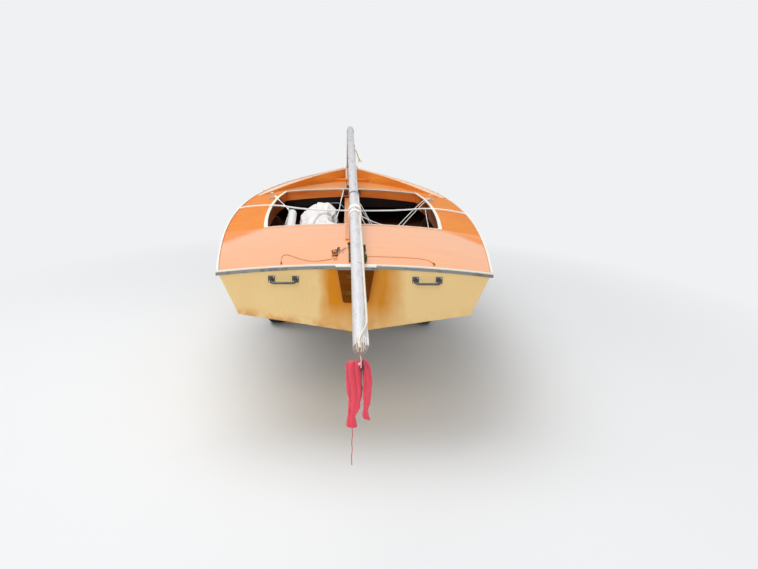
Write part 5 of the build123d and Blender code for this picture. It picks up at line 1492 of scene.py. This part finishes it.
@dataclass
class CockpitLines:
    """The control lines in the cockpit and the lashing over it, all held taut.

    Args:
        tie_down: The lashing's points, from the port rail to the starboard rail.
        routes: For each control line, its radius and its points in the hull's frame, both in millimetres.
    """

    tie_down: tuple = (
        (-0.400, -0.571, 0.447), (-0.400, -0.571, 0.495), (-0.758, -0.571, 0.730), (-0.864, -0.571, 0.927),
        (-0.864, -0.571, 0.972), (-0.578, -0.687, 1.010), (-0.360, -0.698, 0.977), (0.000, -0.698, 0.970),
        (0.360, -0.698, 0.977), (0.578, -0.708, 1.002), (0.859, -0.734, 0.965), (0.859, -0.734, 0.921),
        (0.754, -0.734, 0.724), (0.400, -0.734, 0.495), (0.400, -0.734, 0.447))
    routes: tuple = (
        ("jib_sheet_port_1", 2.8, (-630, 2530, 322), (-540, 2350, 278), (-446, 2186, 232), (-430, 2150, 200)),
        ("jib_sheet_port_2", 2.8, (-622, 2550, 322), (-560, 2390, 286), (-470, 2200, 240), (-500, 2120, 190),
         (-510, 2060, 120)),
        ("jib_sheet_starboard_1", 2.8, (628, 2550, 322), (564, 2440, 304), (320, 1800, 198), (150, 1420, 90),
         (120, 1340, 50)),
        ("jib_sheet_starboard_2", 2.8, (640, 2530, 322), (589, 2440, 304), (350, 1800, 198), (190, 1420, 90),
         (150, 1330, 50)),
        ("centreboard_line", 3.2, (592, 2410, 240), (588, 2300, 205), (584, 2100, 150), (575, 1990, 120),
         (566, 1900, 84)),
        ("kicker_line_port", 3.4, (-69, 2955, 330), (-78, 2800, 300), (-88, 2500, 294), (-96, 2300, 262),
         (-106, 2160, 240), (-118, 2080, 214)),
        ("kicker_tail_port", 2.4, (-72, 2955, 320), (-92, 2760, 262), (-90, 2560, 284), (-84, 2420, 300)),
        ("sail_lashing", 3.0, (-172, 2330, 292), (-130, 2320, 298), (-90, 2300, 297), (-62, 2290, 262)),
        ("downhaul_1", 2.8, (31, 2580, 336), (48, 2100, 343), (56, 1900, 314), (63, 1750, 276), (70, 1700, 250)),
        ("downhaul_2", 2.2, (48, 2110, 338), (80, 1980, 300), (108, 1800, 262), (136, 1660, 236),
         (150, 1600, 200), (156, 1540, 140)),
        ("downhaul_3", 3.0, (58, 2050, 318), (60, 1850, 270), (54, 1720, 284), (96, 1640, 275), (150, 1560, 262),
         (220, 1540, 244), (262, 1440, 200), (280, 1380, 140)),
        ("downhaul_4", 2.2, (66, 1760, 274), (72, 1690, 250), (94, 1560, 240), (120, 1470, 220),
         (135, 1420, 160)),
        ("downhaul_5", 2.0, (60, 1960, 300), (96, 1900, 262), (118, 1760, 228), (150, 1660, 190),
         (165, 1560, 130)))

    def build(self) -> None:
        """Builds every line, and the blocks and cleats that they run through."""
        Line("tie_down_rope", Finishes.ROPE, 0.0066, self.tie_down).laid(stands_for=("tie_down",))
        for name, radius, *points in self.routes:
            places = [on_hull(*(value / 1000 for value in point)) for point in points]
            Line(name, Finishes.GREY_ROPE if name == "sail_lashing" else Finishes.ROPE, radius / 1000, places).smooth()
        bench = Bench("downhaul_blocks", Finishes.BRIGHT_STEEL).rod(0.011, 0.009).rim(0.004, 0.002, both=True)
        bench.pick("FACE", lambda at, normal: abs(normal.z) > 0.9).inset(0.003, -0.0012)
        bench.lay([toward(on_hull(0.050, 2.105, 0.341), (1, 0.2, 0.3)),
                   toward(on_hull(0.060, 1.735, 0.279), (1, 0.5, 0))])
        bench = Bench("coaming_cleats", Finishes.DARK_STEEL).block(0.032, 0.016, 0.046)
        bench.ends((0, -1, 0)).inset(0.005).pull((0, -0.006, 0))
        bench.pick("EDGE", lambda at, run: at.y < 0.0).chamfer(0.003)
        bench.lay([spot(on_hull(x, 2.938, 0.312), (2, 0, 0)) for x in (-0.047, 0.062)])
        bench = Bench("sheet_cleats", Finishes.DARK_STEEL).block(0.07, 0.022, 0.016)
        bench.ends().inset(0.004, 0.004).pull((0, 0, 0.010)).ends().scale((1.9, 1.0, 1.0))
        bench.pick("EDGE", lambda at, run: at.z > 0.008).chamfer(0.002)
        feet = [over(0.120, 1.335, 0.008, "cockpit_floor") + Vector((0, -0.02, 0)),
                over(0.150, 1.325, 0.008, "cockpit_floor") + Vector((0.02, 0.02, 0))]
        bench.lay([spot(foot, (2, 0, 70)) for foot in feet])


@dataclass
class DeckHardware:
    """The small fittings on the aft deck, the transom and the splash boards.

    Args:
        wire_radius: The radius of the two loose deck wires.
        wires: Each wire's points, in millimetres.
        loops: The points of the lashing's light loops, in millimetres, and their heights over the deck.
    """

    wire_radius: float = 0.0010
    wires: tuple = (
        ("deck_wire_port", ((-112, 118), (-150, 84), (-200, 66), (-262, 128), (-318, 226), (-346, 250), (-356, 196),
                            (-350, 118), (-345, 60))),
        ("deck_wire_starboard", ((58, 178), (110, 176), (180, 180), (250, 178), (318, 176), (352, 150), (364, 110),
                                 (368, 72))))
    loops: tuple = ((-92, 190, 0.009), (-78, 240, 0.003), (-66, 320, 0.002), (-52, 372, 0.002), (-44, 366, 0.004),
                    (-56, 320, 0.006), (-66, 280, 0.002), (-60, 250, 0.002))

    def deck(self, x: float, y: float, rise: float = 0.0) -> Vector:
        """A point over the aft deck, from millimetres."""
        return over(x / 1000, y / 1000, rise, "aft_deck")

    def heap(self, *places: tuple) -> list[Matrix]:
        """Places over the aft deck, each from millimetres, a height and a turn."""
        return [spot(self.deck(x, y, rise), turn) for x, y, rise, turn in places]

    def wiring(self) -> None:
        """The two loose steel wires with their end fittings."""
        for name, route in self.wires:
            points = [self.deck(x, y, self.wire_radius + 0.0006) for x, y in route]
            line = Line(name, Finishes.DECK_WIRE, self.wire_radius, points)
            piece = line.smooth()
            end, before = points[-1], points[-2]
            bench = Bench(name + "_end", Finishes.WIRE).rod(0.0036, 0.020, 12)
            bench.ends().inset(0.0008, 0.003).pull((0, 0, 0.004)).rim(-1.0, 0.0006, 1)
            fitting = bench.lay([toward(end + Vector((0, 0, 0.0028)), end - before)])
            tuple(points[0])
            round(line.length(), 3)

    def shackles(self) -> None:
        """The heap of shackles and rings by the mast, and the light loops of its lashing."""
        bench = Bench("deck_shackles", Finishes.WIRE).ring(0.0085, 0.0023).score((0, -0.003, 0), (0, -1, 0), True)
        bench.ends((0, -1, 0)).pull((0, -0.009, 0))
        bench.lay(self.heap((-98, 176, 0.012, (64, 12, 30)), (-84, 318, 0.008, (58, 0, -60)),
                            (-108, 240, 0.008, (30, 10, 100))))
        bench = Bench("deck_shackle_pins", Finishes.OLIVE_METAL).rod(0.0026, 0.026, 12)
        bench.ends().inset(0.0006).scale((2.0, 2.0, 1.0), (0, 0, 0.013)).ends().pull((0, 0, 0.003))
        bench.lay(self.heap((-100, 160, 0.007, (80, 0, 60)), (-82, 300, 0.005, (86, 0, -30))))
        bench = Bench("deck_rings", Finishes.DARK_STEEL).ring(0.0075, 0.0015).every().scale((1.0, 1.25, 1.0))
        bench.lay(self.heap((-108, 254, 0.007, (50, 0, 20)), (-92, 210, 0.006, (30, 20, 0)),
                            (-92, 280, 0.005, (40, 0, 70))))
        Line("deck_loops", Finishes.GREY_ROPE, 0.0011, [self.deck(*place) for place in self.loops]).smooth()

    def track_cars(self) -> None:
        """The cars on the two tracks beside the mast."""
        bench = Bench("track_car", Finishes.OLIVE_METAL).block(0.020, 0.034, 0.016)
        bench.pick("EDGE", lambda at, run: abs(run.z) > 0.9).chamfer(0.005, 3)
        bench.ends().inset(0.003, 0.004).pull((0, 0, 0.005)).ends().inset(0.002, -0.002).rim(0.006, 0.0012)
        bench.lay([spot(over(0.044, y, 0.004, "deck_tracks", "aft_deck"), (2, 0, 0)) for y in (0.310, 0.09)])
        bench = Bench("track_knob", Finishes.OLIVE_METAL).rod(0.0085, 0.018, 18).rim(0.008, 0.003, 3, both=True)
        bench.score((0, 0, 0), (0, 0, 1)).pick("EDGE", lambda at, run: abs(at.z) < 0.001).chamfer(0.003)
        bench.pick("FACE", lambda at, normal: abs(at.z) < 0.002 and abs(normal.z) < 0.5).sink(0.0015)
        bench.lay([spot(over(0.044, 0.318, 0.022, "deck_tracks", "aft_deck"), (0, 90, 0)),
                   spot(over(-0.028, 0.43, 0.012, "deck_tracks", "aft_deck"), (0, 80, 20))])

    def screws(self, name: str, finish: Finishes, radius: float, places: list[Vector]) -> None:
        """Round-headed screws that face aft, each with its slot.

        Args:
            name: The piece's name.
            finish: Its finish.
            radius: A head's radius.
            places: Where each is.
        """
        bench = Bench(name, finish).rod(radius, radius * 0.7, 16).rim(0, radius * 0.35)
        bench.score((0, radius * 0.14, 0), (0, 1, 0)).score((0, -radius * 0.14, 0), (0, 1, 0))
        bench.pick("FACE", lambda at, normal: normal.z > 0.9 and abs(at.y) < radius * 0.1).sink(radius * 0.25)
        bench.lay([toward(place, (0, -1, 0)) for place in places])

    def build(self) -> None:
        """Builds them all, and the two pale knobs where the splash boards end at the mast."""
        self.wiring()
        self.shackles()
        self.track_cars()
        feet = [on_hull(side * 0.327 + end * 0.054 + off * 0.010, -0.0239, 0.242 + off * 0.010)
                for side in (-1, 1) for end in (-1, 1) for off in (-1, 1)]
        self.screws("handle_screws", Finishes.BRIGHT_STEEL, 0.0030, feet)
        straps = [on_hull(x / 1000, -0.0465, z / 1000) for z in (262, 186) for x in (-35, -22, 22, 35)]
        self.screws("gudgeon_screws", Finishes.BRONZE, 0.0036, straps)
        bench = Bench("splash_knobs", Finishes.TRIM).rod(0.013, 0.030).rim(0.01, 0.008, 3)
        bench.ends((0, 0, -1)).inset(0.002).scale((1.5, 1.5, 1.0), (0, 0, -0.015))
        bench.lay([spot(over(x, 3.862, 0.012, "splash_caps", "splash_boards"), (-8, 0, 0)) for x in (-0.056, 0.056)])


@dataclass
class RoadWheels:
    """The trailer's tyres with their tread, and what is bolted to the wheels.

    Args:
        radius: The tyre's radius.
        width: Its width.
        bore: The radius that it sits on.
        middle: Where the starboard wheel's centre is.
        segments: How many segments the tread has.
        walls: The insets that shape its walls, from the tread to the bore: each one's width and rise.
    """

    radius: float = 0.262
    width: float = 0.132
    bore: float = 0.1535
    middle: tuple = (0.600, -0.220, 0.262)
    segments: int = 90
    walls: tuple = ((0.010, 0.0025), (0.004, -0.0012), (0.022, 0.0015), (0.006, -0.003), (0.004, 0.003),
                    (0.024, -0.006), (0.0165, -0.012))

    def tyre(self, name: str, place: Matrix) -> None:
        """One tyre with grooves, blocks and ribbed walls.

        Args:
            name: Its side of the trailer.
            place: Where its wheel goes.
        """
        half = self.width / 2
        bench = Bench("road_tyre_" + name, Finishes.TYRE).rod(self.radius, self.width, self.segments)
        bench.pick("EDGE", lambda at, run: abs(abs(at.z) - half) < 1e-4 and abs(run.z) < 0.1).chamfer(0.022, 4)
        for level in (0.008, 0.014, 0.030, 0.036):
            bench.score((0, 0, level), (0, 0, 1)).score((0, 0, -level), (0, 0, 1))

        def tread(at: Vector, normal: Vector) -> bool:
            """Whether a face is part of the tread."""
            return abs(normal.z) < 0.3 and math.hypot(at.x, at.y) > self.radius - 0.004

        def sector(at: Vector, shift: int) -> int:
            """Which of three a face's segment is."""
            return (round(math.atan2(at.y, at.x) / math.tau * self.segments - 0.5) + shift) % 3

        bench.pick("FACE", lambda at, n: tread(at, n) and (0.008 < abs(at.z) < 0.014 or 0.030 < abs(at.z) < 0.036))
        bench.sink(0.006)
        bench.pick("FACE", lambda at, n: tread(at, n) and abs(at.z) > 0.036 and sector(at, int(at.z > 0)) == 0)
        bench.sink(0.005)
        bench.pick("FACE", lambda at, n: tread(at, n) and 0.014 < abs(at.z) < 0.030 and sector(at, 2) == 0).sink(0.004)
        flank = half - 0.001
        bench.pick("FACE", lambda at, n: abs(at.z) > flank and abs(n.z) > 0.9 and math.hypot(at.x, at.y) < 0.1)
        for width, rise in self.walls:
            bench.inset(width, rise)
        bpy.ops.mesh.delete(type="FACE")
        bench.pick("EDGE", lambda at, run: abs(math.hypot(at.x, at.y) - self.bore) < 0.002 and abs(run.z) < 0.1
                   and abs(at.z) > 0.03)
        bpy.ops.mesh.bridge_edge_loops()
        bench.every()
        bpy.ops.mesh.normals_make_consistent(inside=False)
        bench.lay([place], f"wheel_{name}_body", (f"tyre_{name}",))

    def fastenings(self, name: str, place: Matrix) -> None:
        """The four wheel nuts with their washers, and the tyre's valve.

        Args:
            name: The wheel's side of the trailer.
            place: Where it goes.
        """
        body = f"wheel_{name}_body"
        bench = Bench("wheel_nuts_" + name, Finishes.BRIGHT_STEEL).rod(0.011, 0.014, 6).ends((0, 0, -1))
        bench.pull((0, 0, -0.002)).scale((1.35, 1.35, 1.0), (0, 0, -0.009)).rim(0.006, 0.0016, 1)
        bench.ends().inset(0.004).pull((0, 0, 0.006))
        turns = [math.radians(45 + 90 * step) for step in range(4)]
        bench.lay([place @ spot((0.062 * math.cos(a), 0.062 * math.sin(a), 0.0236)) for a in turns], body)
        bench = Bench("tyre_valve_" + name, Finishes.BLACK_RUBBER).rod(0.0042, 0.036, 12)
        bench.ends().inset(0.0010).pull((0, 0, 0.008)).rim(-1.0, 0.0006, 1)
        bench.lay([place @ spot((0.130, 0.0, 0.022), (0, -18, 0))], body)

    def build(self) -> None:
        """Builds both wheels' pieces, each in a frame whose Z points outboard."""
        x, y, z = self.middle
        for side, name in ((1, "starboard"), (-1, "port")):
            place = spot((side * x, y, z), (0, 90 * side, 0))
            self.tyre(name, place)
            self.fastenings(name, place)


@dataclass
class TrailerFastenings:
    """The U-bolts and bolts that hold the trailer together.

    Args:
        spring_x: How far out the springs are.
        axle: The axle's place, aft or forward and up.
        reach: How far a U-bolt's legs are from the middle, both ways.
        crosses: Where the cross members are.
    """

    spring_x: float = 0.400
    axle: tuple = (-0.220, 0.262)
    reach: float = 0.029
    crosses: tuple = (-1.585, -0.760, 0.340, 0.875)

    def build(self) -> None:
        """Two U-bolts round the axle at each spring with their nuts, and the bolts of rails and mudguards."""
        y, z = self.axle
        legs = [side * self.spring_x + off * self.reach for side in (-1, 1) for off in (-1, 1)]
        for number, x in enumerate(legs):
            aft = [(x, y - self.reach, z + rise) for rise in (0.072, 0.0, -0.028)]
            ahead = [(x, y + self.reach, height) for _, _, height in reversed(aft)]
            Line(f"axle_u_bolt_{number}", Finishes.ZINC, 0.0045, [*aft, (x, y, z - 0.030), *ahead]).smooth()
        bench = Bench("u_bolt_nuts", Finishes.BRIGHT_STEEL).rod(0.0092, 0.009, 6).rim(-1.0, 0.0009, 1)
        bench.lay([spot((x, y + end * self.reach, z + 0.062)) for x in legs for end in (-1, 1)])
        bench = Bench("frame_bolts", Finishes.BRIGHT_STEEL).rod(0.0105, 0.008, 6).ends((0, 0, -1))
        bench.pull((0, 0, -0.0015)).scale((1.3, 1.3, 1.0), (0, 0, -0.0055)).rim(0.003, 0.0014, 1)
        rails = [toward((side * 0.4295, y, 0.420), (side, 0, 0)) for side in (-1, 1) for y in self.crosses]
        guards = [spot((side * 0.4653, y, 0.4425)) for side in (-1, 1) for y in (-0.470, 0.030)]
        bench.lay(rails + guards)


@dataclass
class Studio:
    """The plain pale floor, the soft lights and the camera at the photograph's angle.

    Args:
        eye: Where the camera stands.
        pitch: How far it looks down, in degrees.
        yaw: How far it looks to starboard, in degrees.
        roll: How far it leans, in degrees.
        focal: Focal length in the photograph's pixels.
        width: The photograph's width in pixels.
        floor_span: The floor's size.
        pale: The colour of the background, and of the floor far from the object.
    """

    eye: Point = (-0.0477, -5.72, 1.48)
    pitch: float = 11.936
    yaw: float = 2.901
    roll: float = 1.049
    focal: float = 680.0
    width: float = 758.0
    floor_span: float = 400.0
    pale: Colour = srgb(240, 241, 242)

    def camera(self) -> None:
        """Makes the scene's camera."""
        data = bpy.data.cameras.new("view")
        data.sensor_width, data.clip_end = 36.0, 600.0
        data.lens = self.focal / self.width * data.sensor_width
        camera = linked("view", data)
        camera.location = self.eye
        aim = Euler((math.radians(90 - self.pitch), 0.0, -math.radians(self.yaw))).to_matrix()
        camera.rotation_euler = (aim @ Matrix.Rotation(math.radians(self.roll), 3, "Z")).to_euler()
        bpy.context.scene.camera = camera

    def floor(self) -> None:
        """Makes the floor, which fades into the background's white."""
        bpy.ops.mesh.primitive_plane_add(size=self.floor_span, location=(0, 0, 0))
        floor = bpy.context.active_object
        floor.name = "floor"
        material = bpy.data.materials.new("pale_floor")
        material.use_nodes = True
        nodes, w = material.node_tree.nodes, Wiring(material.node_tree)
        w.surface(Base_Color=w.mix(w.noise(w.place, 0.6), srgb(240, 240, 239), srgb(236, 236, 236)),
                  Roughness=0.95, Specular_IOR_Level=0.1)
        reach = w.vector("LENGTH", Vector=w.mapped(w.place, (1.0, 0.74, 1.0)))["Value"]
        blend = w.add("MixShader")
        layers = (reach.spread(1.7, 3.9) * w.add("LightPath")["Is Camera Ray"],
                  Placed(w, nodes["Principled BSDF"])[0], w.add("Emission", Color=self.pale, Strength=1.0)[0])
        for socket, layer in zip(blend.node.inputs, layers):
            w.feed(socket, layer)
        w.fill(nodes["Material Output"], Surface=blend[0])
        floor.data.materials.append(material)

    def sky(self) -> None:
        """Lights the object evenly and shows a pale background to the eye, to gloss and through glass."""
        world = bpy.data.worlds.new("studio")
        bpy.context.scene.world = world
        world.use_nodes = True
        w = Wiring(world.node_tree)
        path = w.add("LightPath")
        seen = w.calc("MAXIMUM", path["Is Camera Ray"],
                      w.calc("MAXIMUM", path["Is Glossy Ray"], path["Is Transmission Ray"]))
        w.fill(world.node_tree.nodes["Background"], Color=w.mix(seen, srgb(228, 232, 238), self.pale),
               Strength=seen.spread(0.0, 1.0, 0.62, 1.0))

    def lamp(self, name: str, place: Point, aim: Point, size: float, power: float) -> None:
        """Adds one large soft lamp.

        Args:
            name: The lamp's name.
            place: Where it hangs.
            aim: The point that it faces.
            size: Its side.
            power: Its power in watts.
        """
        data = bpy.data.lights.new(name, "AREA")
        data.size, data.energy, data.shape = size, power, "SQUARE"
        lamp = linked(name, data)
        lamp.location = place
        lamp.rotation_euler = (Vector(aim) - Vector(place)).to_track_quat("-Z", "Y").to_euler()

    def build(self) -> None:
        """Sets up the whole studio."""
        bpy.context.scene.view_settings.view_transform = "Standard"
        self.floor()
        self.sky()
        self.lamp("top_light", (-2.0, -1.5, 8.0), (0.0, 0.0, 0.8), 7.0, 420.0)
        self.lamp("stern_light", (-1.5, -9.0, 3.6), (0.0, -2.0, 0.8), 5.0, 160.0)
        self.camera()


def main() -> None:
    """Dresses the CAD nodes, builds the scene piece by piece and reports each."""
    logging.basicConfig(level=logging.INFO, format="%(message)s")
    bpy.ops.object.select_all(action="DESELECT")
    Effects().build()
    Studio().build()
    for finish, names in NODE_FINISH.items():
        for name in names.split():
            Finishes[finish].dress(NODES[name])
    for part in (MastRigging(), DeckHardware(), CockpitLines(), Rag(), SailBundle(), RoadWheels(),
                 TrailerFastenings()):
        part.build()
        LOG.info("%s built", type(part).__name__)


if __name__ == "__main__":
    main()
